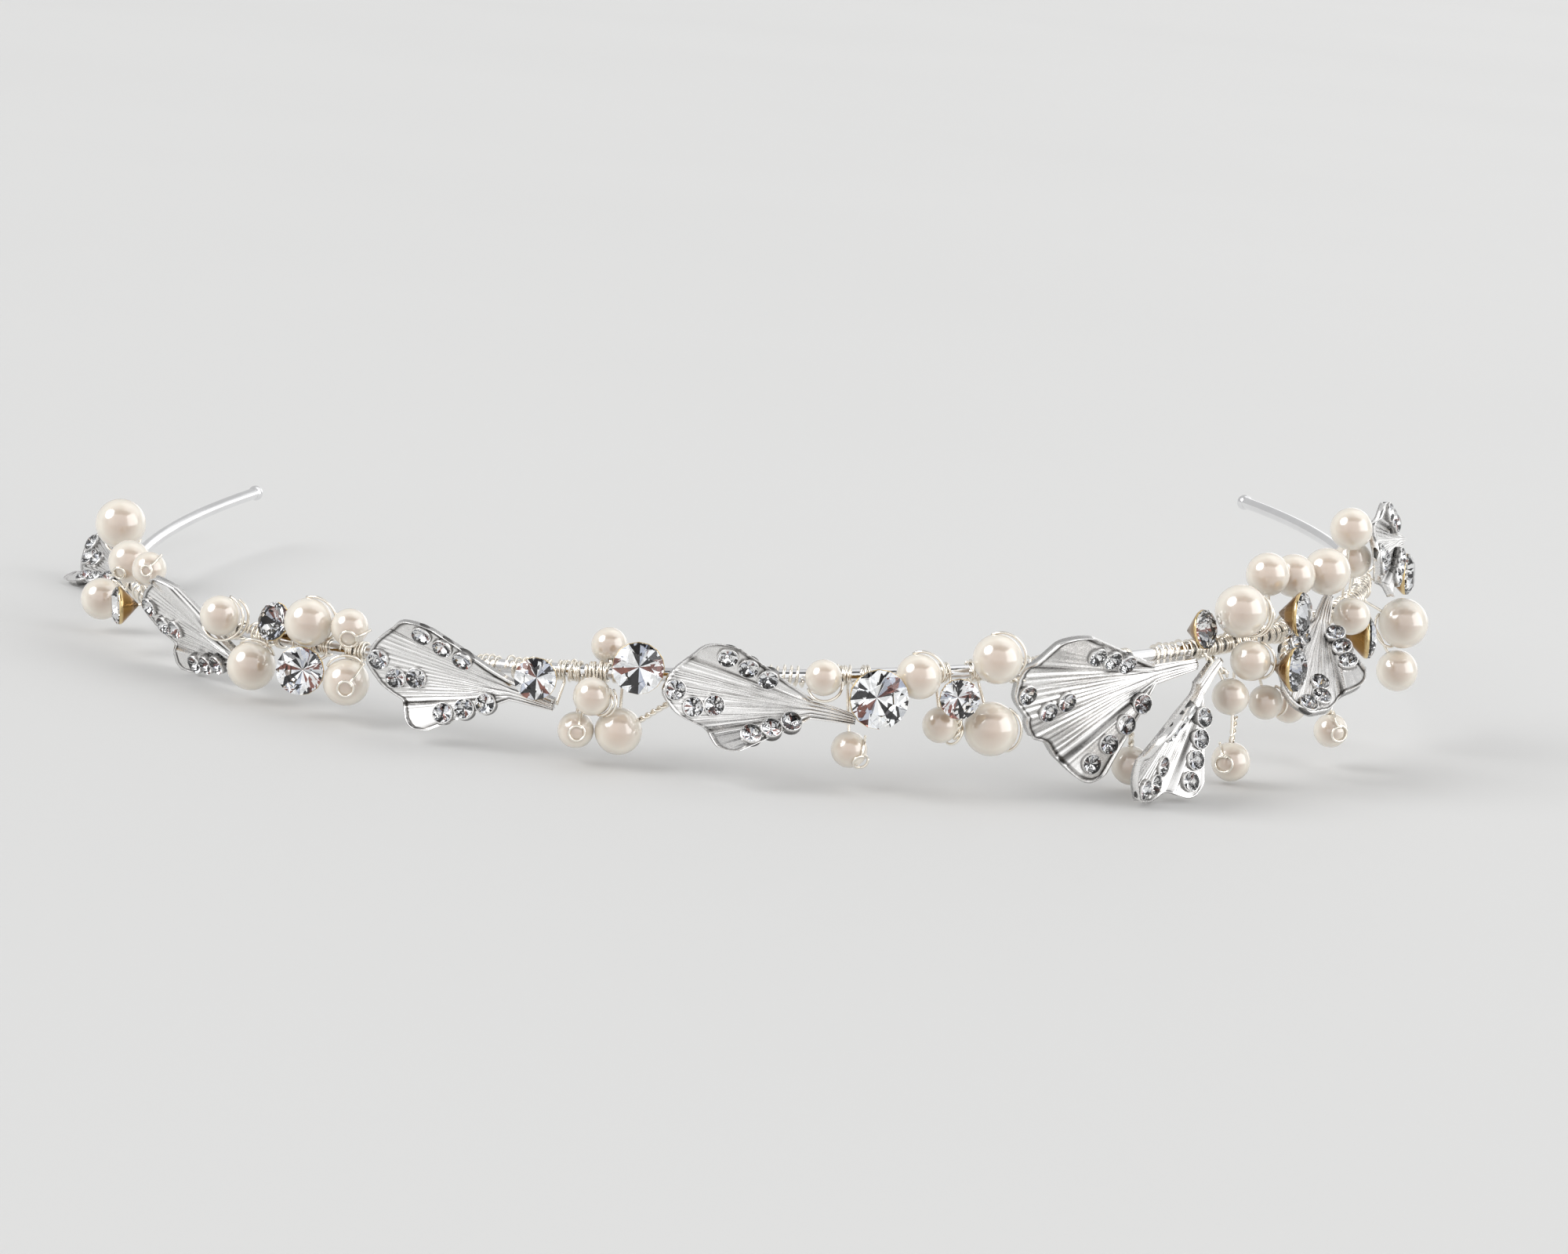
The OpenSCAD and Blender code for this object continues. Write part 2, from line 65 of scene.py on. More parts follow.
# Foiled stones: the same five, then how far the face swings to the right and tips upwards.
chatons = np.array([
    [13.9, -1.5, 5.9, 6.4, 13.9, 0, 5], [22.5, -2, 5, 4.4, 22.7, -5, 0], [-21, 0, 5.5, 4.6, -21, 10, 5],
    [-10.5, 1.5, 4.5, 5.6, -10.5, 5, 5], [-55.7, 2.3, 1.9, 4.4, -55.7, 0, 20],
    [-49.1, -2, 4.9, 5.4, -48.6, 25, 5], [-83.5, 0, 5, 4.4, -83.5, -15, 0],
    [55, 2.4, 1.5, 4.4, 55, 18, 10], [67, 3, 5, 5, 66.3, 20, 0], [63.1, -2.4, 7.5, 5, 62.7, 20, 0],
    [84, -2.5, 4.5, 5, 84, 25, 0], [105, 1.2, 5.4, 5, 105, -5, 0],
])
# Leaves: the stem's tip, angles in degrees, size, the fan's half angle, its cup, its lower lobe's own
# scale, its skew, how far out its upper stones reach, with 0 for none, and how many lower stones it has.
leafMeasures = (
    "along", "up", "out", "turn", "nod", "roll", "size", "spread", "cup", "lobe", "skew", "upperReach",
    "lowerCount",
)
leafRows = {
    "leaf_a": [-20, -3.5, 2.2, 170, 2, -8, 1, 29, 2, 1.04, 0, 1, 3],
    "leaf_b": [12, -4.4, 2.3, 171, 2, 8, 1, 27, 2.8, 1, 0, 1, 3],
    "leaf_c": [52.5, -1, 2.7, 193, -9, -10, 1.12, 40, 1.5, 1.15, 0.25, 0.76, 4],
    "leaf_d": [55.8, -1, 2.9, 219, 11, -18, 1, 30, 2.6, 1.05, 0, 1, 4],
    "leaf_e": [-59, -4.8, 0.7, 164.5, 0, -23, 0.97, 30, 0, 1.05, 0, 0, 3],
    "leaf_f": [-113.5, -4.3, 0.4, 171, 24, 44, 0.92, 27, 1.9, 1.05, 0, 1, 3],
    "leaf_g": [79.1, 2.9, 1.4, 213.5, 15, 51.5, 0.93, 27, 2.6, 1.05, 0, 1, 3],
    "leaf_h": [107.8, 4.8, 4.7, 177.5, -11, 5, 0.95, 29, 0, 1.05, 0, 1, 3],
}
leaves = {name: dict(zip(leafMeasures, row)) for name, row in leafRows.items()}
# Feet of the leaves' own wires.
leafFeet = {"leaf_a": -19.3, "leaf_e": -58.8, "leaf_f": -113.0, "leaf_h": 108.1}


# Each vector over its own length.
def unit(v):
    return v / np.linalg.norm(v, axis=-1, keepdims=True)


# Held between 0 and 1.
def held(values):
    return np.clip(values, 0, 1)


# The angles of a ring's corners: a full turn in even steps.
def roundAngles(sides):
    return np.arange(sides) * 2 * math.pi / sides


# Cosine and sine of an angle along two directions.
def circling(angle, first, second):
    return np.cos(angle)[..., None] * first + np.sin(angle)[..., None] * second


# Rings about Z, by cosine and sine of the angle.
def ringAt(angle, radius, height):
    return np.stack([radius * np.cos(angle), radius * np.sin(angle), height + 0 * angle], -1)


# The centreline is three arcs a side: the heading grows by length over radius, and a point lies one radius
# from its arc's centre. Gives the point and the directions along the band and away from the head.
def bandFrame(along):
    along = np.asarray(along, float)
    side, length = np.where(along < 0, -1.0, 1.0), np.abs(along)
    half = math.radians(band["crownHalf"])
    radii = np.array(band["radii"])
    shoulder = (radii[0] - radii[1]) * np.array([math.sin(half), -math.cos(half)])
    centres = np.array([[0, 0], shoulder, [shoulder[0] + radii[1] - radii[2], shoulder[1]]])
    starts = np.array([0, radii[0] * half, radii[0] * half + radii[1] * (math.pi / 2 - half)])
    arc = np.digitize(length, starts[1:])
    heading = np.array([0, half, math.pi / 2])[arc] + (length - starts[arc]) / radii[arc]
    point = centres[arc] + radii[arc][..., None] * np.stack([np.sin(heading), -np.cos(heading)], -1)
    zero = np.zeros_like(along)
    return (np.stack([side * point[..., 0], point[..., 1], zero], -1),
            np.stack([np.cos(heading), side * np.sin(heading), zero], -1),
            np.stack([side * np.sin(heading), -np.cos(heading), zero], -1))


upwards = np.array([0.0, 0.0, 1.0])


# A place [along, up, out] as a point in the flat frame.
def place(row):
    row = np.asarray(row, float)
    point, _, out = bandFrame(row[..., 0])
    return point + row[..., 1:2] * upwards + row[..., 2:3] * out


# Turns directions by the pitch about X and then by the roll about Y.
def laidDirection(v):
    a, b = math.radians(lying["pitch"]), math.radians(lying["roll"])
    pitch = np.array([[1, 0, 0], [0, math.cos(a), -math.sin(a)], [0, math.sin(a), math.cos(a)]])
    roll = np.array([[math.cos(b), 0, math.sin(b)], [0, 1, 0], [-math.sin(b), 0, math.cos(b)]])
    return np.asarray(v, float) @ (roll @ pitch).T


# Turned, shifted and in metres.
def laid(points):
    return (laidDirection(points) + np.array(lying["shift"])) * mm


# A new object in the scene.
def addObject(name, data):
    thing = bpy.data.objects.new(name, data)
    bpy.context.scene.collection.objects.link(thing)
    return thing


# A new mesh piece that rides on the one rigid body, from points in the flat frame. An attribute has its
# domain and its values.
def addPiece(name, points, faces, materials, kinds=None, smooth=True, attributes=None):
    mesh = bpy.data.meshes.new(name)
    faceList = faces if isinstance(faces, list) else faces.tolist()
    mesh.from_pydata(laid(points.reshape(-1, 3)).tolist(), [], faceList)
    mesh.polygons.foreach_set("use_smooth", np.full(len(mesh.polygons), smooth))
    for material in materials:
        mesh.materials.append(material)
    if kinds is not None:
        mesh.polygons.foreach_set("material_index", np.asarray(kinds, np.int32))
    for label, (domain, values) in (attributes or {}).items():
        layer = mesh.attributes.new(label, "FLOAT", domain)
        layer.data.foreach_set("value", np.asarray(values, np.float32).ravel())
    mesh.validate()
    mesh.update()
    piece = addObject(name, mesh)
    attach(piece, "root")
    return piece


# Quads of a grid of points, rows by columns, closed round the columns or the rows where asked.
def gridFaces(rows, columns, wrapColumns=False, wrapRows=False):
    r = np.arange(rows if wrapRows else rows - 1)[:, None]
    c = np.arange(columns if wrapColumns else columns - 1)[None, :]
    nextRow, nextColumn = (r + 1) % rows, (c + 1) % columns
    return np.stack([r * columns + c, r * columns + nextColumn,
                     nextRow * columns + nextColumn, nextRow * columns + c], -1).reshape(-1, 4)


# The same faces for each of count copies, with the point numbers moved on.
def repeatFaces(faces, count, size):
    return (faces[None] + np.arange(count)[:, None, None] * size).reshape(-1, faces.shape[1])


# A new node, with its inputs linked to other nodes' outputs or set.
def newNode(tree, kind, inputs, **settings):
    node = tree.nodes.new("ShaderNode" + kind)
    for label, value in settings.items():
        setattr(node, label, value)
    for label, value in inputs.items():
        if isinstance(value, bpy.types.NodeSocket):
            tree.links.new(value, node.inputs[label])
        else:
            node.inputs[label].default_value = value
    return node


# A material with a Principled shader.
def newMaterial(name, **inputs):
    material = bpy.data.materials.new(name)
    material.use_nodes = True
    tree = material.node_tree
    tree.nodes.clear()
    shader = newNode(tree, "BsdfPrincipled", {k.replace("_", " "): v for k, v in inputs.items()})
    newNode(tree, "OutputMaterial", {"Surface": shader.outputs["BSDF"]})
    return material, tree, shader


# Spreads a mask over a range, and holds the ends where only a part of the mask is used.
def mapRange(tree, mask, low, high, fromLow=0.0, fromHigh=1.0):
    clamp = (fromLow, fromHigh) != (0.0, 1.0)
    ends = {"From Min": fromLow, "From Max": fromHigh, "To Min": low, "To Max": high}
    return newNode(tree, "MapRange", {"Value": mask, **ends}, clamp=clamp).outputs["Result"]


# The shared noise: its detail, and the stretch of it that is spread over 0 to 1.
cloud = {"detail": 3.0, "drawn": (0.35, 0.65)}


# Shared group: patches from a broad noise on Object coordinates and grain from a fine one.
def makePatches():
    group = bpy.data.node_groups.new("softPatches", "ShaderNodeTree")
    sockets = (("INPUT", "Scale"), ("INPUT", "Fine Scale"), ("OUTPUT", "Patches"), ("OUTPUT", "Grain"))
    for way, label in sockets:
        group.interface.new_socket(label, in_out=way, socket_type="NodeSocketFloat")
    entry, leave = group.nodes.new("NodeGroupInput"), group.nodes.new("NodeGroupOutput")
    where = newNode(group, "TexCoord", {}).outputs["Object"]
    for label, size in (("Patches", "Scale"), ("Grain", "Fine Scale")):
        noise = newNode(group, "TexNoise", {
            "Vector": where, "Scale": entry.outputs[size], "Detail": cloud["detail"]})
        spread = mapRange(group, noise.outputs["Fac"], 0.0, 1.0, *cloud["drawn"])
        group.links.new(spread, leave.inputs[label])
    return group


patchesGroup = makePatches()


# Patches and grain in a material, from the noises' scales per metre.
def addPatches(tree, scale, fineScale):
    node = newNode(tree, "Group", {"Scale": scale, "Fine Scale": fineScale}, node_tree=patchesGroup)
    return node.outputs["Patches"], node.outputs["Grain"]


# Mixes two colours by a mask.
def mixColour(tree, mask, *colours):
    first, second = ((*colour, 1) if isinstance(colour, tuple) else colour for colour in colours)
    mix = newNode(tree, "Mix", {"Factor": mask, "A": first, "B": second}, data_type="RGBA")
    return mix.outputs["Result"]


# A number that the mesh carries.
def attributeValue(tree, label):
    return newNode(tree, "Attribute", {}, attribute_name=label).outputs["Fac"]


# One step of arithmetic in a node tree.
def calculate(tree, operation, first, second):
    kind = "VectorMath" if operation == "DOT_PRODUCT" else "Math"
    return newNode(tree, kind, {0: first, 1: second}, operation=operation).outputs["Value"]


# Bends a shader's normal by the slope of a height, of which 1 stands for the distance.
def addBump(tree, shader, height, strength, distance):
    bump = newNode(tree, "Bump", {"Strength": strength, "Distance": distance, "Height": height})
    tree.links.new(bump.outputs["Normal"], shader.inputs["Normal"])


# Each metal's tone, its roughness and how far the grain changes it.
metals = {
    "leaf": ((0.97, 0.96, 0.95), 0.25, 0.05), "band": ((0.88, 0.88, 0.89), 0.07, 0.03),
    "wire": ((0.98, 0.93, 0.84), 0.18, 0.05), "foil": ((0.29, 0.16, 0.05), 0.16, 0.06),
}
# What the metals share: the noises' scales, the patches' share of the tone, the bump's strength and height.
metalGrain = {"noise": (150.0, 3000.0), "patch": 0.93, "bump": (0.3, 0.00001)}


# A tone with darker patches, and the grain in the roughness and, where asked, as a bump.
def metalMaterial(name, bright, roughness, grain, bumped=True):
    material, tree, shader = newMaterial(name, Metallic=1.0)
    patches, fine = addPatches(tree, *metalGrain["noise"])
    tone = mixColour(tree, patches, bright, tuple(metalGrain["patch"] * c for c in bright))
    tree.links.new(tone, shader.inputs["Base Color"])
    tree.links.new(mapRange(tree, fine, roughness - grain, roughness + grain), shader.inputs["Roughness"])
    if bumped:
        addBump(tree, shader, fine, *metalGrain["bump"])
    return material, tree, shader, tone


streaks = {
    "across": 46.0, "along": 1.5,  # how many there are on the fan
    "apart": 3.7,  # from one leaf to the next in the noise
    "detail": 2.0,
    "drawn": (0.33, 0.44),  # stretch of the noise that draws them
    # The line tone and the deep-line colour below are painted shade, in the bump's hollows and the leaf's
    # deep lines.
    "tone": (0.50, 0.49, 0.48), "grooveShade": (0.06, 0.055, 0.05), "bump": (0.9, 0.00007),
}


# The leaves' metal: noise drawn out along the fan's straight lines, by the leaf's own two coordinates,
# makes streaks, as height and as darker lines where the height is low, which is painted shade in the
# streaks' hollows. The groove shade mask then paints shade into the deep lines.
def leafMaterial():
    material, tree, shader, tone = metalMaterial("leafSilver", *metals["leaf"], bumped=False)
    across, reach, kin, panel = (attributeValue(tree, k) for k in ("across", "reach", "kin", "panel"))
    where = newNode(tree, "CombineXYZ", {
        "X": mapRange(tree, across, 0.0, streaks["across"]),
        "Y": mapRange(tree, reach, 0.0, streaks["along"]), "Z": kin}).outputs["Vector"]
    noise = newNode(tree, "TexNoise", {"Vector": where, "Scale": 1.0, "Detail": streaks["detail"]})
    lines = mapRange(tree, noise.outputs["Fac"], 1.0, 0.0, *streaks["drawn"])
    drawn = calculate(tree, "MULTIPLY", lines, panel)
    height = calculate(tree, "MULTIPLY", noise.outputs["Fac"], panel)
    streakShaded = mixColour(tree, drawn, tone, streaks["tone"])
    grooveShaded = mixColour(tree, attributeValue(tree, "grooveShade"), streakShaded, streaks["grooveShade"])
    tree.links.new(grooveShaded, shader.inputs["Base Color"])
    addBump(tree, shader, height, *streaks["bump"])
    return material


leafSilver = leafMaterial()
bandSteel = metalMaterial("bandSteel", *metals["band"])[0]
wireSilver = metalMaterial("wireSilver", *metals["wire"])[0]

foilEdge = (0.78, 0.60, 0.32)


# Brown paint with a golden edge.
def foilMaterial():
    material, tree, shader, tone = metalMaterial("goldFoil", *metals["foil"])
    edged = mixColour(tree, attributeValue(tree, "edge"), tone, foilEdge)
    tree.links.new(edged, shader.inputs["Base Color"])
    return material


goldFoil = foilMaterial()

nacre = {
    # The core colours are the nacre's rosy tone darkened by painted reflection.
    "cream": ((0.80, 0.745, 0.65), (0.77, 0.70, 0.60)), "rosyReflectedCore": ((0.45, 0.335, 0.26), (0.53, 0.405, 0.32)),
    "coreStrength": 0.9, "coreReach": 0.36, "noise": (320.0, 2500.0), "bump": (0.1, 0.00001),
}


# Nacre: a rosy core, the nacre's own rosy tone darkened as a painted reflection of the dark room, fades to
# cream as the surface turns away from the eye.
def nacreMaterial():
    material, tree, shader = newMaterial(
        "pearlNacre", Roughness=0.26, Specular_IOR_Level=0.8, Coat_Weight=1.0, Coat_Roughness=0.09,
        Coat_IOR=2.2, Subsurface_Weight=0.1, Subsurface_Scale=0.001, Subsurface_Radius=(1.0, 0.7, 0.5))
    patches, grain = addPatches(tree, *nacre["noise"])
    facing = newNode(tree, "LayerWeight", {}).outputs["Facing"]
    cream = mixColour(tree, patches, *nacre["cream"])
    rosyReflectedCore = mixColour(tree, patches, *nacre["rosyReflectedCore"])
    middle = mapRange(tree, facing, nacre["coreStrength"], 0.0, 0.0, nacre["coreReach"])
    tree.links.new(mixColour(tree, middle, cream, rosyReflectedCore), shader.inputs["Base Color"])
    addBump(tree, shader, grain, *nacre["bump"])
    return material


pearlNacre = nacreMaterial()

glass = {"tones": ((1.0, 1.0, 1.0), (0.97, 0.98, 0.99)), "noise": (90.0, 900.0)}


# Clear glass with hardly cooler patches.
def glassMaterial():
    material, tree, shader = newMaterial(
        "cutGlass", Roughness=0.0, IOR=1.58, Metallic=0.0, Transmission_Weight=1.0)
    patches, _ = addPatches(tree, *glass["noise"])
    tree.links.new(mixColour(tree, patches, *glass["tones"]), shader.inputs["Base Color"])
    return material


# The mirror's tones, and from which share of the facets on: the black facets are painted dark reflections,
# and the brown and blue-grey ones are painted coloured glints.
paintedFacetTones = [
    (0.0, (0.99, 0.99, 0.99)), (0.5, (0.84, 0.85, 0.87)), (0.68, (0.03, 0.028, 0.03)),
    (0.87, (0.24, 0.10, 0.08)), (0.92, (0.55, 0.58, 0.66)), (0.96, (0.98, 0.97, 0.95)),
]


# Each facet's own number picks its tone, a painted reflection or glint.
def mirrorMaterial():
    material, tree, shader = newMaterial("mirrorFoil", Metallic=1.0, Roughness=0.03)
    ramp = newNode(tree, "ValToRGB", {"Fac": attributeValue(tree, "facetGlint")})
    ramp.color_ramp.interpolation = "CONSTANT"
    while len(ramp.color_ramp.elements) < len(paintedFacetTones):
        ramp.color_ramp.elements.new(1.0)
    for element, (position, colour) in zip(ramp.color_ramp.elements, paintedFacetTones):
        element.position = position
        element.color = (*colour, 1)
    tree.links.new(ramp.outputs["Color"], shader.inputs["Base Color"])
    return material


cutGlass = glassMaterial()
mirrorFoil = mirrorMaterial()
print("materials made")

# The band's own solid is shown as it is.
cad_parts["band"].data.materials.clear()
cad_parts["band"].data.materials.append(bandSteel)


# Axes across, upwards and out of each stone's face, which is the outward direction swung and then tipped.
def stoneAxes(rows):
    point, alongDir, outDir = bandFrame(rows[:, 0])
    swing, tip = np.radians(rows[:, 5:6]), np.radians(rows[:, 6:7])
    face = (np.cos(tip) * np.sin(swing) * alongDir + np.cos(tip) * np.cos(swing) * outDir
            + np.sin(tip) * upwards)
    across = unit(np.cross(upwards, face))
    return np.stack([across, np.cross(face, across), face], 1)


# A cut's radii as shares of the girdle's, its heights as shares of the diameter, and the stretch of the
# mirror's tones that it is dealt.
brilliant = {
    "table": 0.56, "star": 0.80, "waist": 0.62, "crown": 0.16, "girdle": 0.03, "cone": 0.46,
    "facetGlint": (0.05, 1),
}
cutSides = 8


# A brilliant cut for a radius of 1: table ring, star ring, girdle rings, waist ring and culet. The star and
# waist rings lie on the planes of the main facets, so that each kite is flat. The facets at the back are
# numbered from 1 on, and the crown's have 0.
def brilliantCut(cut):
    main, girdle = roundAngles(cutSides), roundAngles(2 * cutSides)
    between, flatten = main + math.pi / cutSides, math.cos(math.pi / cutSides)
    top, edge, deep = 2 * cut["crown"], cut["girdle"] * 2, -2 * cut["cone"]
    starHeight = top + (edge - top) * (cut["star"] * flatten - cut["table"]) / (1 - cut["table"])
    waistHeight = deep + (-edge - deep) * cut["waist"] * flatten
    points = np.concatenate([
        ringAt(main, cut["table"], top), ringAt(between, cut["star"], starHeight),
        ringAt(girdle, 1.0, edge), ringAt(girdle, 1.0, -edge),
        ringAt(between, cut["waist"], waistHeight), [[0, 0, deep]]])
    table, star, upper, lower, waist, culet = cutSides * np.array([0, 1, 2, 4, 6, 7])
    k, j, fan = np.arange(cutSides), np.arange(2 * cutSides), np.arange(1, cutSides - 1)
    after, before = (k + 1) % cutSides, (k - 1) % cutSides
    even, odd, following = 2 * k, 2 * k + 1, (2 * k + 2) % (2 * cutSides)
    jn = (j + 1) % (2 * cutSides)
    crown = np.concatenate([np.stack(corners, -1) for corners in (
        (0 * fan, fan, fan + 1), (table + k, star + k, table + after),
        (table + k, star + before, upper + even), (table + k, upper + even, star + k),
        (star + k, upper + even, upper + odd), (star + k, upper + odd, upper + following),
        (upper + j, lower + j, lower + jn), (upper + j, lower + jn, upper + jn))])
    back = np.concatenate([np.stack(corners, -1) for corners in (
        (culet + 0 * k, waist + k, lower + even), (culet + 0 * k, lower + even, waist + before),
        (waist + k, lower + odd, lower + even), (waist + k, lower + following, lower + odd))])
    facet = np.maximum(0, np.arange(len(crown) + len(back)) - len(crown) + 1)
    return points, np.concatenate([crown, back]), facet


# Evenly spaced values from low to high in a new order for each stone, one set for the half kites and one
# for the triangles, so that every stone has its share of painted dark reflections.
def dealFacetTones(count, low, high):
    tones = np.tile(np.linspace(low, high, 2 * cutSides), (count, 1))
    return np.concatenate([np.zeros((count, 1)), *[dice.permuted(tones, axis=1) for _ in range(2)]], 1)


# The unit cut scaled to each radius and turned to each stone's axes.
def addStones(name, centres, axes, radii, cut, nodes):
    points, faces, facet = brilliantCut(cut)
    placed = centres[:, None] + radii[:, None, None] * np.einsum("pk,skc->spc", points, axes)
    count = len(centres)
    facetGlint = dealFacetTones(count, *cut["facetGlint"])[:, facet]
    stones = addPiece(name, placed, repeatFaces(faces, count, len(points)), [cutGlass, mirrorFoil],
                      np.tile(facet > 0, count), smooth=False, attributes={"facetGlint": ("FACE", facetGlint)})
    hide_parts(*nodes)
    return stones


chatonCentres, chatonAxes, chatonRadii = place(chatons), stoneAxes(chatons), chatons[:, 3] / 2
foiled = addStones("foiledStones", chatonCentres, chatonAxes, chatonRadii, brilliant,
                   [f"chaton_{i + 1:02d}" for i in range(len(chatons))])


# A closed wall turned about each stone's axis. A corner has a radius and a height as shares of the stone's
# radius, and a mask.
def turnWall(wall, sides, centres, axes, radii):
    ring = ringAt(roundAngles(sides), wall[:, :1], wall[:, 1:2])
    placed = centres[:, None, None] + radii[:, None, None, None] * np.einsum("wpk,skc->swpc", ring, axes)
    faces = gridFaces(len(wall), sides, wrapColumns=True, wrapRows=True)
    mask = np.tile(np.repeat(wall[:, 2], sides), len(centres))
    return placed, repeatFaces(faces, len(centres), len(wall) * sides), mask


# The foil: a thin cup just outside each cone, with the golden edge as its mask.
foilCup = {
    "sides": 16,
    "wall": [
        [0.985, -0.11, 1], [0.92, -0.20, 0.3], [0.5, -0.60, 0], [0.02, -1.04, 0], [0.06, -1.09, 0],
        [0.54, -0.64, 0], [0.91, -0.29, 0], [1.012, -0.16, 1], [1.018, -0.05, 1], [1.002, -0.045, 1],
    ],
}
cupPoints, cupFaces, cupEdge = turnWall(
    np.array(foilCup["wall"]), foilCup["sides"], chatonCentres, chatonAxes, chatonRadii)
cups = addPiece("foilCups", cupPoints, cupFaces, [goldFoil], attributes={"edge": ("POINT", cupEdge)})
print("foiled stones made")

# Leaves: g runs from -1 at the stem's tip through 0 at the neck to 1 at the far edge, and t across from -1
# to 1.
shape = {
    "stem": 5.0, "tipHalf": 0.6, "neckHalf": 1.1, "thickness": 0.8,
    "lean": 1.0,  # degrees by which the fan leans down
    "shift": 0.5,  # from the stem's tip up to the neck
    "cupPower": 0.8,  # power of g in the cup
    "lip": 0.8, "lipRise": 4.0,  # height of the side edges, and how fast they reach it
    "ruffle": 0.3,  # waves of the far edge
    "rib": 0.4, "ribFade": 3.0,  # the stem's rounded top, and how fast it ends
    "corner": 0.17, "cornerFrom": 0.72,  # share taken off the far corners, and from which t on
    "lobeFrom": -0.2, "lobeSoft": 0.2,  # t where the lower lobe's own scale begins, and its blend
    "grip": (-0.2, 0, -0.4),  # where the leaf's own wire ends
    "rows": 92, "stemRows": 18, "columns": 141,
}
lobes = np.array([
    [-1, 10.5], [-0.75, 11.2], [-0.5, 11.6], [-0.25, 14.8], [0, 16.5], [0.25, 16], [0.5, 14.6],
    [0.75, 13.8], [1, 12],
])
lipProfile = np.array([[0, 0], [0.5, 0], [0.56, 0.75], [0.62, 0.95], [0.75, 1], [0.88, 0.8], [1, 0.2]])


# Straight-line look-up, as the mean of five places close by.
def evened(x, table, reach=0.05):
    steps = np.linspace(-reach, reach, 5)
    return np.mean([np.interp(x + s, table[:, 0], table[:, 1]) for s in steps], axis=0)


# The far edge: the lobes' table read at the skewed t, with the lower lobe's own scale and both corners
# taken off by a cube.
def fanReach(leaf, t):
    skewed = t - leaf["skew"] * (1 - t * t)
    lower = 1 + (leaf["lobe"] - 1) * held((shape["lobeFrom"] - skewed) / shape["lobeSoft"])
    outer = held((np.abs(t) - shape["cornerFrom"]) / (1 - shape["cornerFrom"]))
    return evened(skewed, lobes) * lower * (1 - shape["corner"] * outer ** 3)


# The surface as in the part's source: u along the stem, v across, w to the front. The fan opens in straight
# lines, cupped by the square of t, with raised sides and a far edge that waves by a cosine.
def leafSurface(leaf, g, t, lipOn=True):
    fan, stem = np.maximum(g, 0), np.minimum(g, 0) + 1
    reach = fan * fanReach(leaf, t)
    spread = np.radians(leaf["spread"] * t - shape["lean"])
    half = shape["tipHalf"] + (shape["neckHalf"] - shape["tipHalf"]) * stem
    u = shape["stem"] * stem + reach * np.cos(spread)
    v = shape["shift"] * stem + half * t + reach * np.sin(spread)
    w = leaf["cup"] * t * t * fan ** shape["cupPower"]
    if lipOn:
        raised = np.interp(np.abs(t), lipProfile[:, 0], lipProfile[:, 1])
        w = w + shape["lip"] * raised * np.minimum(1, shape["lipRise"] * fan)
        w = w + shape["ruffle"] * np.cos(2 * math.pi * t) * fan ** 3
        fading = np.where(g < 0, 1, np.maximum(0, 1 - shape["ribFade"] * g))
        w = w + shape["rib"] * (1 - t * t) * fading
    return np.stack([u, v, w], -1)


# Small stones, with their places as g and t. Each sits in a pressed dish inside a raised rim.
gems = {
    "far": [[0.92, 0.06], [0.84, -0.16], [0.68, -0.12]],
    "upper": [[0.8, 0.77], [0.61, 0.77], [0.42, 0.75]],
    "lower": [[0.21, -0.72], [0.42, -0.76], [0.63, -0.76], [0.84, -0.76]],
    "farSkew": 0.84,  # share of the leaf's skew that moves the far ones
    "step": 0.02,  # step in g and t that finds the leaf's slopes
    "radius": 1.05, "lift": 0.36, "dishRadius": 0.95, "dishDepth": 0.68,
    "rimInner": 1.03, "rimOuter": 1.2, "rimTop": 0.40, "rimSides": 28,
}
smallCut = {
    "table": 0.5, "star": 0.78, "waist": 0.6, "crown": 0.17, "girdle": 0.05, "cone": 0.42, "facetGlint": (0.1, 1),
}


# Centres, directions along the leaf and directions square to its slopes, in leaf axes.
def stoneSeats(leaf):
    far = [[g, t + gems["farSkew"] * leaf["skew"]] for g, t in gems["far"]]
    upper = [[g * leaf["upperReach"], t] for g, t in gems["upper"] if leaf["upperReach"] > 0]
    g, t = np.array(far + gems["lower"][:leaf["lowerCount"]] + upper).T
    step = gems["step"]
    du = leafSurface(leaf, g + step, t, False) - leafSurface(leaf, g - step, t, False)
    dv = leafSurface(leaf, g, t + step, False) - leafSurface(leaf, g, t - step, False)
    return leafSurface(leaf, g, t), unit(du), unit(np.cross(du, dv))


# Turns leaf axes by the roll about u, the nod about v and the turn about w, with v mirrored.
def leafTurned(leaf, p):
    turn, nod, roll = np.radians(leaf["turn"]), -np.radians(leaf["nod"]), np.radians(leaf["roll"])
    x, y, z = p[..., 0], -p[..., 1], p[..., 2]
    y, z = y * np.cos(roll) - z * np.sin(roll), y * np.sin(roll) + z * np.cos(roll)
    x, z = x * np.cos(nod) + z * np.sin(nod), z * np.cos(nod) - x * np.sin(nod)
    x, y = x * np.cos(turn) - y * np.sin(turn), x * np.sin(turn) + y * np.cos(turn)
    _, alongDir, outDir = bandFrame(leaf["along"])
    return x[..., None] * alongDir + y[..., None] * upwards + z[..., None] * outDir


# Scales, turns and moves points of a leaf to the stem's tip.
def leafAt(leaf, p):
    return place([leaf["along"], leaf["up"], leaf["out"]]) + leaf["size"] * leafTurned(leaf, p)


# The volume inside quads times six, a sum of triple products: negative where they face inwards.
def signedVolume(points, faces):
    a, b, c, d = (points[faces[:, k]] for k in range(4))
    return np.sum(np.cross(a, b) * c) + np.sum(np.cross(a, c) * d)


# Random values at knots evenly spaced over t, joined by straight lines.
def scattered(t, knots, spread):
    return np.interp(t.ravel(), np.linspace(-1, 1, knots), dice.normal(0, spread, knots)).reshape(t.shape)


# 1 in the middle and falling off as a bell, by the square of the distance over the width.
def bell(values, middle, width):
    return np.exp(-((values - middle) / width) ** 2)
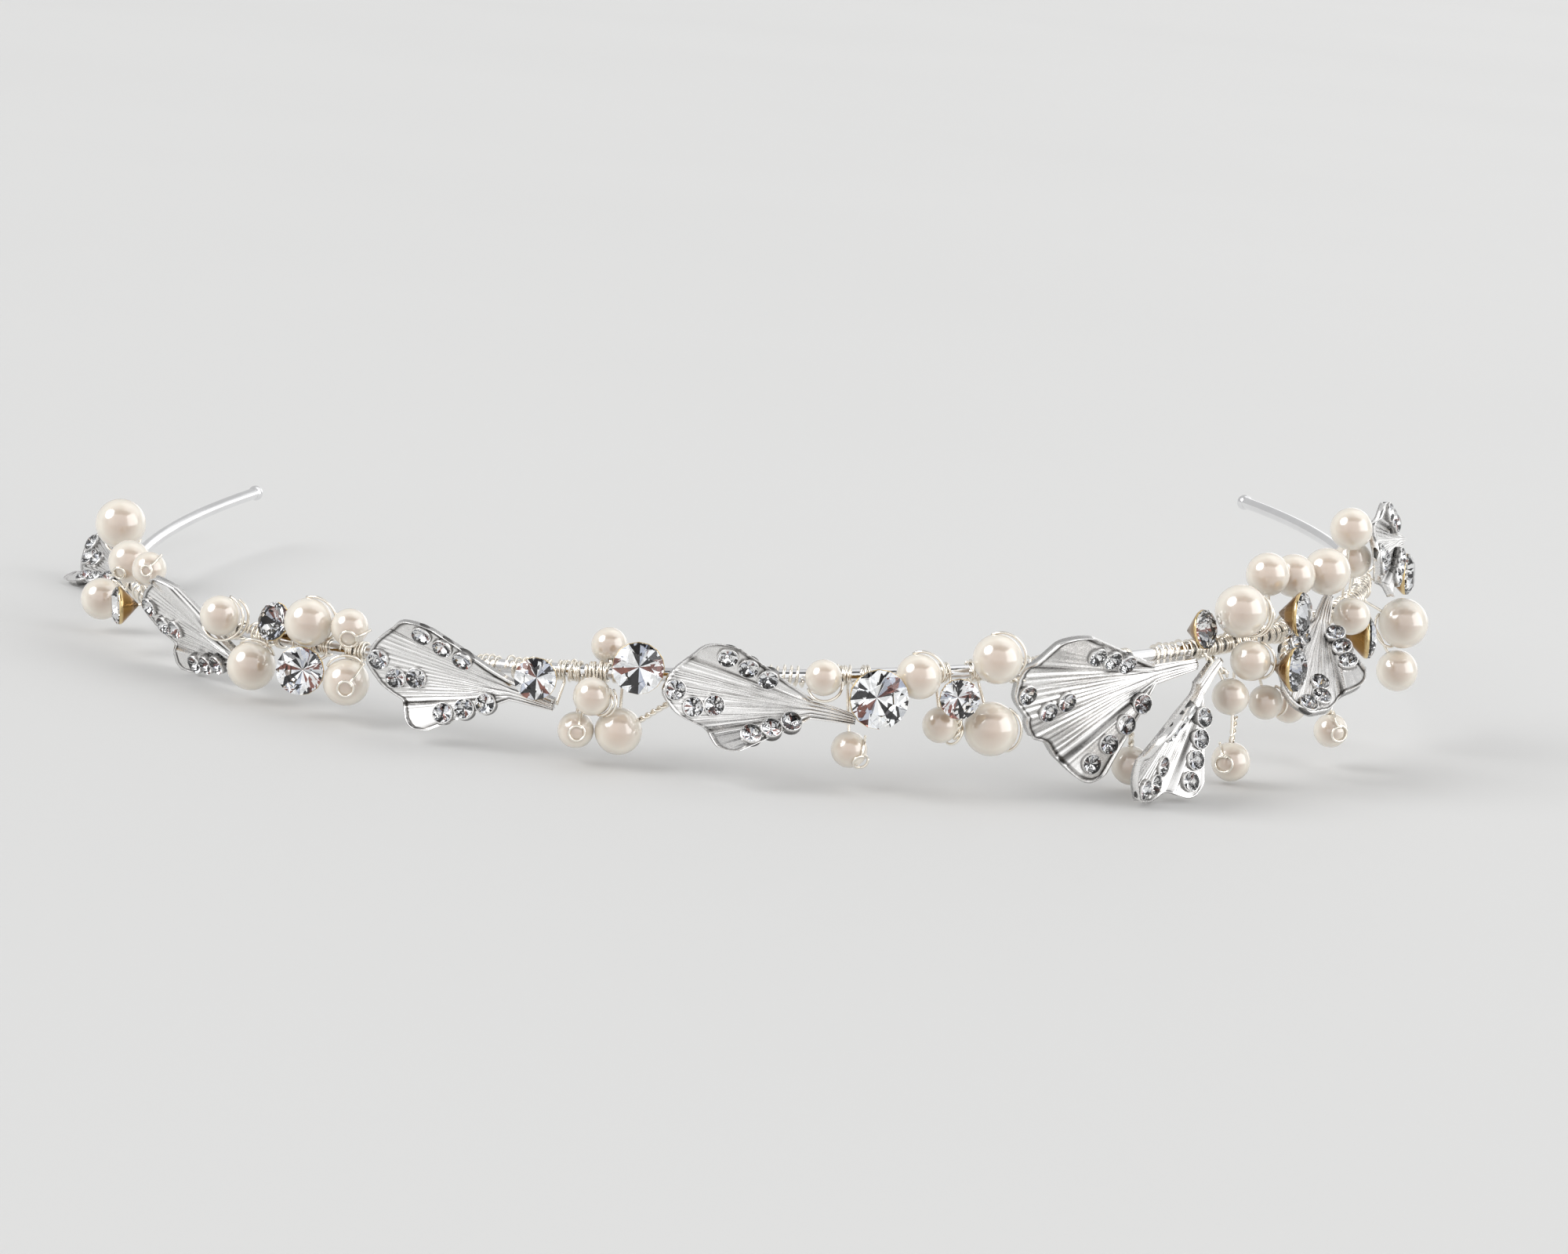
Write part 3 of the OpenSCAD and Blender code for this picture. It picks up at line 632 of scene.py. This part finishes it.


# The leaf's relief in millimetres, and the painted shade of its deep lines.
carving = {
    "pleats": 15,  # across the whole width
    "pleatHeight": 0.16, "pleatMiddle": 0.6, "pleatStray": 0.05, "pleatSway": 0.35,
    "pleatSide": 0.12,  # what is left of them beside the panel in the middle
    "panelHalf": 0.53, "panelSoft": 0.012, "panelEdge": 0.6,
    "ribs": 2.6, "ribHeight": 0.12, "ribSway": 0.8, "ribEdge": 0.25,
    "bead": 0.19, "beadWidth": 0.35,  # raised line along the outline
    "ridge": 0.16, "ridgeLine": (0.575, 0.022), "ridgeEdge": 0.5,  # place and width along the sides
    # Painted shade: how dark the pleats', ribs', step's and outline's lines are, and the rim's.
    "pleatDark": 0.35, "ribDark": 1.8, "stepDark": 1.3, "stepLine": (0.53, 0.02),
    "outlineDark": 1.2, "outlineLine": (0.42, 0.15),
    "rimBulge": 0.14, "rimDark": 0.08,
    "backPleats": 0.5, "backDark": 0.2, "backPanel": 0.6,  # shares of the front's
}


# Rounded pleats with sharp lines between them, as the size of a sine across, ribs on the stem, a bead along
# the outline and a ridge along the raised sides. The groove shade mask paints shade into the deep lines,
# broken up at random.
def carveLeaf(g, t, edge, number):
    fan = np.maximum(g, 0)
    bend = scattered(t, 25, 0.10)
    middle = 1 / (1 + np.exp((np.abs(t) - carving["panelHalf"]) / carving["panelSoft"]))
    side = carving["pleatSide"]
    panel = held(fan * 6) * held(edge / carving["panelEdge"]) * (side + (1 - side) * middle)
    phase = math.pi * carving["pleats"] * (t + carving["pleatStray"] * bend)
    wave = np.abs(np.sin(phase + carving["pleatSway"] * np.sin(4 * g + 7 * t)))
    strength = panel * np.clip(0.75 + scattered(t, 30, 0.4), 0.1, 1.4)
    pleats = carving["pleatHeight"] * strength * (wave - carving["pleatMiddle"])
    ribWave = np.abs(np.sin(carving["ribs"] * math.pi * t + carving["ribSway"] * np.sin(2.5 * g)))
    onStem = held(1.3 - 3.6 * np.maximum(g + 0.1, 0)) * held(edge / carving["ribEdge"])
    ribs = carving["ribHeight"] * (ribWave - 0.5) * onStem
    bead = carving["bead"] * held(1 - edge / carving["beadWidth"])
    ridge = carving["ridge"] * bell(np.abs(t), *carving["ridgeLine"])
    ridge = ridge * held(fan * 4) * held(edge / carving["ridgeEdge"])
    breaks = held(0.8 + scattered(t, 17, 0.3) + 0.35 * np.sin(9 * g + 3 * number))
    step = bell(np.abs(t), *carving["stepLine"]) * held(fan * 5)
    outline = bell(edge, *carving["outlineLine"]) * held(fan * 6 + 0.3)
    grooveShade = (carving["pleatDark"] * held(1 - 3.5 * wave) * strength
              + carving["stepDark"] * step * (1.1 - 0.4 * fan) + carving["outlineDark"] * outline
              + carving["ribDark"] * held(1 - 2.6 * ribWave) * onStem)
    return pleats, ribs + bead + ridge, panel, held(grooveShade * breaks)


# Front and back on one grid of g and t, joined by a rim that bulges. A stone's dish is a cone pressed in
# along its axis.
def addLeaf(name, leaf, number):
    rows, columns, stemRows = shape["rows"], shape["columns"], shape["stemRows"]
    reach = np.concatenate([np.linspace(-1, 0, stemRows), np.linspace(0, 1, rows - stemRows + 1)[1:]])
    t, g = np.meshgrid(np.linspace(-1, 1, columns), reach)
    edgeSide = (1 - np.abs(t)) * (shape["neckHalf"] + np.maximum(g, 0) * 8)
    edge = np.where(g > 0, np.minimum(edgeSide, (1 - g) * fanReach(leaf, t)), edgeSide)
    pleats, relief, panel, grooveShade = carveLeaf(g, t, edge, number)
    front, back = leafSurface(leaf, g, t), leafSurface(leaf, g, t)
    front[..., 2] += pleats + relief
    back[..., 2] += carving["backPleats"] * pleats - shape["thickness"]
    seats, _, outwards = stoneSeats(leaf)
    apart = np.linalg.norm(front[:, :, None] - seats, axis=-1) * leaf["size"]
    pressed = held(1 - apart / gems["dishRadius"])
    front = (front - gems["dishDepth"] * pressed @ outwards).reshape(-1, 3)
    back = back.reshape(-1, 3)
    rim = np.concatenate([
        np.arange(columns), np.arange(1, rows) * columns + columns - 1,
        (rows - 1) * columns + np.arange(columns - 2, -1, -1), np.arange(rows - 2, 0, -1) * columns])
    along = np.roll(front[rim], -1, 0) - np.roll(front[rim], 1, 0)
    outward = unit(np.cross(along, front[rim] - back[rim]))
    bulge = (front[rim] + back[rim]) / 2 + carving["rimBulge"] * outward
    count, size, grid = len(rim), rows * columns, gridFaces(rows, columns)
    k = np.arange(count)
    n = (k + 1) % count
    faces = np.concatenate([
        grid[:, ::-1], grid + size,
        np.stack([rim[k], rim[n], 2 * size + n, 2 * size + k], -1),
        np.stack([2 * size + k, 2 * size + n, size + rim[n], size + rim[k]], -1)])
    points = leafAt(leaf, np.concatenate([front, back, bulge]))
    if signedVolume(points, faces) < 0:
        faces = faces[:, ::-1]

    def onPoints(values, backShare=1.0, rimValue=0.0):
        return "POINT", np.concatenate([values.ravel(), backShare * values.ravel(), np.full(count, rimValue)])
    piece = addPiece(f"{name}_cast", points, faces, [leafSilver], attributes={
        # Painted shade of the deep lines, fainter on the back and on the rim.
        "grooveShade": onPoints(grooveShade, carving["backDark"], carving["rimDark"]),
        "panel": onPoints(panel, carving["backPanel"]), "across": onPoints(t), "reach": onPoints(g),
        "kin": onPoints(np.full_like(g, streaks["apart"] * number))})
    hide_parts(name)


for leafNumber, (leafName, leafValues) in enumerate(leaves.items()):
    addLeaf(leafName, leafValues, leafNumber)
print("leaves made")


# One leaf's seats in the flat frame: centres, and axes along, across and out.
def seatsPlaced(leaf):
    centre, along, out = stoneSeats(leaf)
    axes = np.stack([leafTurned(leaf, a) for a in (along, -np.cross(out, along), out)], 1)
    return leafAt(leaf, centre), axes


placedSeats = zip(*[seatsPlaced(leaf) for leaf in leaves.values()])
seatPoints, seatAxes = (np.concatenate(parts) for parts in placedSeats)
seatRadii = np.ones(len(seatPoints))
small = addStones("leafStones", seatPoints + gems["lift"] * seatAxes[:, 2], seatAxes,
                  gems["radius"] * seatRadii, smallCut, ["leaf_stones_left", "leaf_stones_right"])


# The rims: a rounded section turned about each stone's axis, with painted shade at its foot and on its inner
# wall.
def addRims():
    inner, outer, top = gems["rimInner"], gems["rimOuter"], gems["rimTop"]
    section = np.array([
        [outer + 0.05, -0.5, 0.9], [outer, 0.1, 0.7], [outer - 0.02, top - 0.06, 0.1],
        [outer - 0.07, top, 0], [inner + 0.04, top - 0.02, 0], [inner, top - 0.14, 0.3],
        [inner - 0.03, -0.1, 0.5]])
    points, faces, rimShade = turnWall(section, gems["rimSides"], seatPoints, seatAxes, seatRadii)
    rims = addPiece("stoneRims", points, faces[:, ::-1], [leafSilver], attributes={"grooveShade": ("POINT", rimShade)})


addRims()
print("small stones made")

pearlCentres, pearlRadii = place(pearls), pearls[:, 3] / 2
beads = {
    "rows": 22, "sides": 36,
    "hole": 0.34, "holeTaper": 0.98, "holeFloor": 0.3,  # radius, and its floor's radius and height as shares
    "pole": 0.001,  # angle of the small lid at the far pole
    "wireStart": 0.7,  # from the rod to where the axis starts
    "aside": (0.3, 0.2, 0.9),  # no axis has this direction
}


# The direction of each way from the band to a point, without its share along the band.
def leaving(rise, alongDir):
    return unit(rise - np.sum(rise * alongDir, -1, keepdims=True) * alongDir)


# Each pearl's axis: from just above its wire's foot to its centre.
def pearlAxes():
    point, alongDir, _ = bandFrame(pearls[:, 4])
    rise = pearlCentres - point
    return unit(rise - (band["rod"] / 2 + beads["wireStart"]) * leaving(rise, alongDir))


# A circle's arc from the closed far pole to the drilled hole on the wire's side, turned about the axis.
def addPearls():
    rows, sides, axes = beads["rows"], beads["sides"], pearlAxes()
    start = math.pi - np.arcsin(beads["hole"] / pearlRadii)
    latitude = np.linspace(0, 1, rows)[None, :] * start[:, None]
    latitude[:, 0] = beads["pole"]
    radial, height = np.sin(latitude), np.cos(latitude)
    radial = np.concatenate([radial, radial[:, -1:] * beads["holeTaper"]], 1)
    height = np.concatenate([height, height[:, -1:] * beads["holeFloor"]], 1)
    across = unit(np.cross(axes, beads["aside"]))
    second = np.cross(axes, across)
    turned = circling(roundAngles(sides), across[:, None], second[:, None])
    points = pearlCentres[:, None, None] + pearlRadii[:, None, None, None] * (
        radial[:, :, None, None] * turned[:, None] + height[:, :, None, None] * axes[:, None, None])
    size = (rows + 1) * sides
    body = repeatFaces(gridFaces(rows + 1, sides, wrapColumns=True), len(pearls), size)
    ring = np.arange(sides)
    lids = [(size * i + ring[::-1]).tolist() for i in range(len(pearls))]
    lids += [(size * i + size - sides + ring).tolist() for i in range(len(pearls))]
    flat = points.reshape(-1, 3)
    if signedVolume(flat, body) < 0:
        body, lids = body[:, ::-1], [lid[::-1] for lid in lids]
    strung = addPiece("pearlBeads", flat, body.tolist() + lids, [pearlNacre])
    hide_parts(*[f"pearl_{i + 1:02d}" for i in range(len(pearls))])


addPearls()
print("pearls made")

# Carrying wires: each is one round strand.
wires = {
    "strand": 0.36, "sides": 8,
    "turns": 2.25, "turnSteps": 20,
    "gap": 0.05,  # between the rod and the wire
    "spacing": 1.15,  # from turn to turn, in strands
    "lift": 0.35, "aside": 0.05,  # from the last turn to the stalk
    "stalkSteps": 8,
}


# Tubes along rows of points. A section's first direction is square to the path and to the sideways one.
def addTubes(name, paths, sideways, radius):
    paths, sides = np.asarray(paths, float), wires["sides"]
    tangents = unit(np.gradient(paths, axis=1))
    first = unit(np.cross(tangents, sideways))
    second = np.cross(tangents, first)
    ring = circling(roundAngles(sides), first[:, :, None], second[:, :, None])
    count, steps = paths.shape[:2]
    size = steps * sides
    caps = np.array([[0, k, k + 1] for k in range(1, sides - 1)])
    ends = np.concatenate([caps, (size - sides + caps)[:, ::-1]])
    quads = repeatFaces(gridFaces(steps, sides, wrapColumns=True), count, size)
    triangles = repeatFaces(ends, count, size)
    points = (paths[:, :, None] + radius * ring).reshape(-1, 3)
    if signedVolume(points, quads) < 0:
        quads = quads[:, ::-1]
    else:
        triangles = triangles[:, ::-1]
    piece = addPiece(name, points, quads.tolist() + triangles.tolist(), [wireSilver])
    return piece


# Turns round the rod, evenly spaced, then a straight stalk.
def carryingPaths(feet, ends):
    point, alongDir, _ = bandFrame(feet)
    leave = leaving(ends - point, alongDir)
    side = np.cross(alongDir, leave)
    radius = band["rod"] / 2 + wires["gap"] + wires["strand"] / 2
    k = np.arange(-int(wires["turns"] * wires["turnSteps"]), 1)
    along = (k * wires["strand"] * wires["spacing"] / wires["turnSteps"])[:, None] * alongDir[:, None]
    turned = circling(k * 2 * math.pi / wires["turnSteps"], leave[:, None], side[:, None])
    wrap = point[:, None] + along + radius * turned
    start = point + (radius + wires["lift"]) * leave + wires["aside"] * side
    stalk = start[:, None] + np.linspace(0, 1, wires["stalkSteps"])[:, None] * (ends - start)[:, None]
    return np.concatenate([wrap[:, :-1], stalk], 1), alongDir


culets = chatonCentres - (2 * brilliant["cone"] * chatonRadii)[:, None] * chatonAxes[:, 2]
grips = np.stack([leafAt(leaves[name], np.array(shape["grip"])) for name in leafFeet])
wireEnds = np.concatenate([pearlCentres, culets, grips])
wireFeet = np.concatenate([pearls[:, 4], chatons[:, 4], list(leafFeet.values())])
paths, alongDirs = carryingPaths(wireFeet, wireEnds)
# A direction that neither the turns nor the stalks have.
acrossWires = unit(alongDirs * 0.9 + 0.3 * upwards + np.array([0.05, 0.3, 0]))
carrying = addTubes("carryingWire", paths, acrossWires[:, None], wires["strand"] / 2)
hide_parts("wire_left", "wire_right")
print("wires made")

# Bare strands carry nothing. Coils round the rod: start and end along the band, and turns.
coils = np.array([
    [-29.4, -26.9, 4], [-25.8, -22.6, 4], [-19.3, -17.2, 3], [-16.6, -13.0, 4], [3.0, 6.6, 5],
    [10, 12.4, 3], [20.8, 22.4, 3], [25, 26.6, 3], [28.6, 30.4, 2], [31.6, 34, 5], [48.4, 52.6, 5],
    [53.2, 56.4, 4], [73.2, 75.6, 3], [88.6, 92, 4], [99, 102.5, 4], [-46.6, -44.4, 3],
    [-53.4, -51.6, 3], [-60.8, -58.6, 3], [-66.5, -63.6, 4], [-90.6, -87.4, 4], [-101.5, -98.5, 4],
    [68, 68.8, 2], [70.4, 71.3, 2], [76, 77.9, 4], [84.4, 85.9, 3], [93, 94.7, 4],
])
# Arcs round a pearl, seen from the front: the pearl's number, first and last angle, distance from the pearl
# and from its middle to the front.
pearlArcs = np.array([
    [15, -150, 62, 0.25, 0.9], [15, -70, 40, 0.75, 0.2], [12, 95, -50, 0.25, 0.5],
    [11, 25, 115, 0.25, 0.6], [14, 50, 140, 0.3, 0.2], [8, 20, -80, 0.02, 1.1], [8, 15, -65, 0.45, 0.9],
    [2, 105, -15, 0.22, 0.4], [1, -140, -15, 0.25, 1.0], [3, 105, -35, 0.2, 0.3],
    [6, 48, -60, 0.18, 0.4], [5, 5, -70, 0.35, 0.6], [20, 35, -75, 0.25, 0.3], [20, 10, -60, 0.6, 0.1],
    [24, -60, 60, 0.25, 0.6], [26, 60, -50, 0.25, 0.4], [30, 160, 250, 0.3, 0.6],
    [18, 60, -40, 0.25, 0.4], [33, -40, -130, 0.25, 0.6],
])
# Loops on a pearl: the pearl's number, the ring's middle and radius and the tail's end, to the right and
# up, as shares of the pearl's radius.
pearlLoops = np.array([
    [14, 0.04, -0.06, 0.34, 0.75, 0.80], [13, 0.0, -0.42, 0.46, 1.05, -0.1],
    [9, 0.08, 0.04, 0.42, 0.35, 1.05], [4, 0.55, -0.50, 0.40, 0.80, 0.75],
    [28, -0.42, 0.06, 0.42, -0.55, 0.95], [17, -0.05, 0.1, 0.30, 0.7, 0.8],
    [16, -0.35, -0.38, 0.28, -0.9, -0.6], [32, 0.35, 0.0, 0.45, 0.1, 1.1],
])
# Twisted stems: start and end, each along, up and out.
stems = np.array([
    [-11.2, -5.1, 1.2, -7.6, -2.6, 2.6], [79.2, -0.9, 1.0, 79.5, -11.2, 1.9],
    [53.6, -0.1, 2.6, 56.6, -2.7, 3.4], [65.0, 0.6, 4.4, 63.5, -1.5, 5.0],
    [23.4, -4.4, 2.6, 23.0, -7.0, 2.4], [27.3, -0.5, 3.3, 30.6, -0.7, 3.0],
    [45.1, -0.9, 0.6, 45.0, -9.9, 1.0], [61.0, -8.5, 0.6, 60.3, -11.2, 0.8],
])
bare = {
    "strand": 0.3, "coilSteps": 150, "coilGap": 0.08,
    "coilWaver": 0.1, "coilSway": 0.09,  # how far the turns stray outwards and along
    "arcSteps": 44,
    "arcDip": 0.12, "arcBack": 1.6,  # shares by which an arc's ends come in and go back
    "ringTurns": 1.1, "ringSteps": 46,
    "ringStart": 0.82,  # share of its radius at which a ring starts
    "tailSteps": 14, "tailStart": 0.06, "loopGap": 0.04,
    "stemStrand": 0.36, "stemOffset": 0.19, "stemSteps": 60,
    "stemTwist": 1.7,  # length of one turn of the two strands
}
toRight, toFront = np.array([1.0, 0.0, 0.0]), np.array([0.0, -1.0, 0.0])


# Coils: a circle that moves along the rod evenly and strays by slow sines.
def coilPaths(rows):
    share = np.linspace(0, 1, bare["coilSteps"])[None, :]
    sway = dice.normal(0, 1, (4, len(rows), 1))
    turns = rows[:, 2:3] * share
    along = rows[:, :1] + (rows[:, 1:2] - rows[:, :1]) * share
    along = along + bare["coilSway"] * np.sin(5 * share + 3 * sway[0]) * sway[1]
    point, alongDir, outDir = bandFrame(along)
    radius = band["rod"] / 2 + bare["coilGap"] + bare["strand"] / 2
    radius = radius + bare["coilWaver"] * (1 + np.sin(2.3 * turns + 2 * sway[3]))
    return point + radius[..., None] * circling(2 * math.pi * turns + sway[2], outDir, upwards), alongDir


# Arcs: part of a circle round the pearl whose ends bend in and back by a cube.
def arcPaths(rows):
    index = rows[:, 0].astype(int) - 1
    share = np.linspace(0, 1, bare["arcSteps"])[None, :]
    angle = np.radians(rows[:, 1:2] + (rows[:, 2:3] - rows[:, 1:2]) * share)
    ends = np.abs(2 * share - 1) ** 3
    radius = (pearlRadii[index, None] + bare["strand"] / 2 + rows[:, 3:4]) * (1 - bare["arcDip"] * ends)
    ahead = rows[:, 4:5] * (1 - bare["arcBack"] * ends)
    flat = radius[..., None] * circling(angle, toRight, upwards)
    return pearlCentres[index, None] + flat + ahead[..., None] * toFront


# Loops: a ring of a little more than one turn with a straight tail, laid on a ball.
def loopPaths(rows):
    index = rows[:, 0].astype(int) - 1
    middle, ringRadius, leave = rows[:, None, 1:3], rows[:, 3][:, None, None], rows[:, None, 4:6]
    away = np.arctan2(leave[..., 1] - middle[..., 1], leave[..., 0] - middle[..., 0])
    turn = np.linspace(-2 * math.pi * bare["ringTurns"], 0, bare["ringSteps"])[None, :] + away
    swirl = np.linspace(bare["ringStart"], 1.0, bare["ringSteps"])[None, :, None]
    ring = middle + ringRadius * swirl * np.stack([np.cos(turn), np.sin(turn)], -1)
    run = np.linspace(bare["tailStart"], 1, bare["tailSteps"])[None, :, None]
    spots = np.concatenate([ring, ring[:, -1:] + run * (leave - ring[:, -1:])], 1)
    depth = np.sqrt(np.maximum(0.02, 1 - np.sum(spots ** 2, -1)))
    radius = (pearlRadii[index] + bare["strand"] / 2 + bare["loopGap"])[:, None, None]
    return pearlCentres[index, None] + radius * (
        spots[..., :1] * toRight + spots[..., 1:] * upwards + depth[..., None] * toFront)


# Stems: two strands that run round a straight line half a turn apart.
def stemPaths(rows):
    start, end = place(rows[:, :3]), place(rows[:, 3:])
    run = unit(end - start)
    first = unit(np.cross(run, toFront))
    second = np.cross(run, first)
    share = np.linspace(0, 1, bare["stemSteps"])
    twist = 2 * math.pi * share * np.linalg.norm(end - start, axis=-1)[:, None] / bare["stemTwist"]
    line = start[:, None] + share[:, None] * (end - start)[:, None]
    return np.concatenate([
        line + bare["stemOffset"] * circling(angle, first[:, None], second[:, None])
        for angle in (twist, twist + math.pi)])


addTubes("coilStrands", *coilPaths(coils), bare["strand"] / 2)
addTubes("arcStrands", arcPaths(pearlArcs), toFront, bare["strand"] / 2)
loops = loopPaths(pearlLoops)
outwards = loops - pearlCentres[pearlLoops[:, 0].astype(int) - 1, None]
addTubes("loopStrands", loops, unit(outwards), bare["strand"] / 2)
addTubes("twistedStems", stemPaths(stems), toFront, bare["stemStrand"] / 2)
print("bare strands made")

# The plain floor.
floor = {"half": 4.0, "colour": (0.65, 0.65, 0.645), "patch": 0.985, "noise": (3.0, 40.0)}


# One square at the height of 0, with faint broad patches.
def addFloor():
    mesh = bpy.data.meshes.new("floor")
    h = floor["half"]
    mesh.from_pydata([(-h, -h, 0), (h, -h, 0), (h, h, 0), (-h, h, 0)], [], [(0, 1, 2, 3)])
    material, tree, shader = newMaterial("palePaper", Roughness=0.7)
    patches, _ = addPatches(tree, *floor["noise"])
    tone = mixColour(tree, patches, floor["colour"], tuple(floor["patch"] * c for c in floor["colour"]))
    tree.links.new(tone, shader.inputs["Base Color"])
    mesh.materials.append(material)
    ground = addObject("floor", mesh)


addFloor()

# The key: one soft sun from the upper left, with its apparent size in degrees.
keyLight = {"towards": (-0.72, -0.30, 0.62), "size": 40.0, "strength": 1.6}


# The sun's own Z points towards it.
def addKey():
    lamp = bpy.data.lights.new("keyLeft", "SUN")
    lamp.energy, lamp.angle = keyLight["strength"], math.radians(keyLight["size"])
    towards = Vector(keyLight["towards"]).to_track_quat("Z", "Y")
    addObject("keyLeft", lamp).rotation_euler = towards.to_euler()


addKey()

# The room is bright all round and brighter in front. Cards overhead and behind light the right cluster's
# leaves, a window on the right is brighter still, and a dark strip gives the rod its streak and the stones
# their dark facets. Each has its direction, its half sizes and soft edge as slopes, and its strength.
room = {
    "bright": 0.6,
    "front": ((0.0, -0.96, 0.28), (1.0, 0.50), 0.6, 1.08),
    "overhead": ((0.52, 0.30, 0.80), (0.38, 0.38), 0.35, 1.1),
    "rear": ((0.48, 0.87, 0.10), (0.35, 0.15), 0.2, 1.4),
    "strip": ((0.0, -0.42, 0.90), (2.4, 0.16), 0.12, 0.05),
    "window": ((0.85, -0.36, 0.15), (0.40, 0.72), 0.16, 2.5),
}


# A soft-edged rectangle in the sky: the direction's two slopes against the rectangle's axis, each faded out
# past its half size, and nothing on the far side.
def skyPatch(tree, direction, towards, halves, soft):
    axis = unit(np.array(towards))
    right = unit(np.cross(upwards, axis))
    ahead = calculate(tree, "DOT_PRODUCT", direction, tuple(axis))
    masks = [mapRange(tree, ahead, 0.0, 1.0, 0.05, 0.1)]
    for side, half in zip((right, np.cross(axis, right)), halves):
        slope = calculate(tree, "DIVIDE", calculate(tree, "DOT_PRODUCT", direction, tuple(side)), ahead)
        slope = calculate(tree, "ABSOLUTE", slope, 0.0)
        masks.append(mapRange(tree, slope, 1.0, 0.0, half, half + soft))
    return calculate(tree, "MULTIPLY", calculate(tree, "MULTIPLY", *masks[1:]), masks[0])


# The cards are laid over the even room one after the other.
def addRoom():
    world = bpy.data.worlds.new("room")
    world.use_nodes = True
    tree = world.node_tree
    tree.nodes.clear()
    direction = newNode(tree, "TexCoord", {}).outputs["Generated"]
    tone = (room["bright"],) * 3
    for label in ("front", "overhead", "rear", "strip", "window"):
        *card, strength = room[label]
        tone = mixColour(tree, skyPatch(tree, direction, *card), tone, (strength,) * 3)
    background = newNode(tree, "Background", {"Color": tone}).outputs["Background"]
    newNode(tree, "OutputWorld", {"Surface": background})
    bpy.context.scene.world = world


addRoom()

# The camera is set up in the flat frame and laid down with the band.
camera = {
    "distance": 508.8,  # from the aim point
    "azimuth": 0.07, "elevation": 10.78, "roll": 0.55,  # degrees
    "aim": (4.54, -80.0), "rise": 5.36,
    "lens": 108.0, "sensor": 36.0,
    "clip": (0.01, 20.0),  # metres
}


# Azimuth and elevation give the forward direction, the eye lies behind the aim point along it, and the roll
# turns the other two axes about it.
def addCamera():
    turn, lift, roll = (math.radians(camera[k]) for k in ("azimuth", "elevation", "roll"))
    forward = np.array([math.sin(turn) * math.cos(lift), math.cos(turn) * math.cos(lift), -math.sin(lift)])
    right = np.array([math.cos(turn), -math.sin(turn), 0.0])
    up = np.cross(right, forward)
    eye = np.array([*camera["aim"], 0.0]) + camera["rise"] * up - camera["distance"] * forward
    level = right * math.cos(roll) + up * math.sin(roll)
    upright = up * math.cos(roll) - right * math.sin(roll)
    matrix = np.eye(4)
    matrix[:3, :3] = np.stack([laidDirection(axis) for axis in (level, upright, -forward)], 1)
    matrix[:3, 3] = laid(eye)
    lens = bpy.data.cameras.new("camera")
    lens.sensor_width = camera["sensor"]
    lens.lens = camera["lens"]
    lens.clip_start, lens.clip_end = camera["clip"]
    view = addObject("camera", lens)
    view.matrix_world = Matrix(matrix.tolist())
    bpy.context.scene.camera = view


addCamera()
bpy.context.scene.view_settings.view_transform = "Standard"
print("stage set")
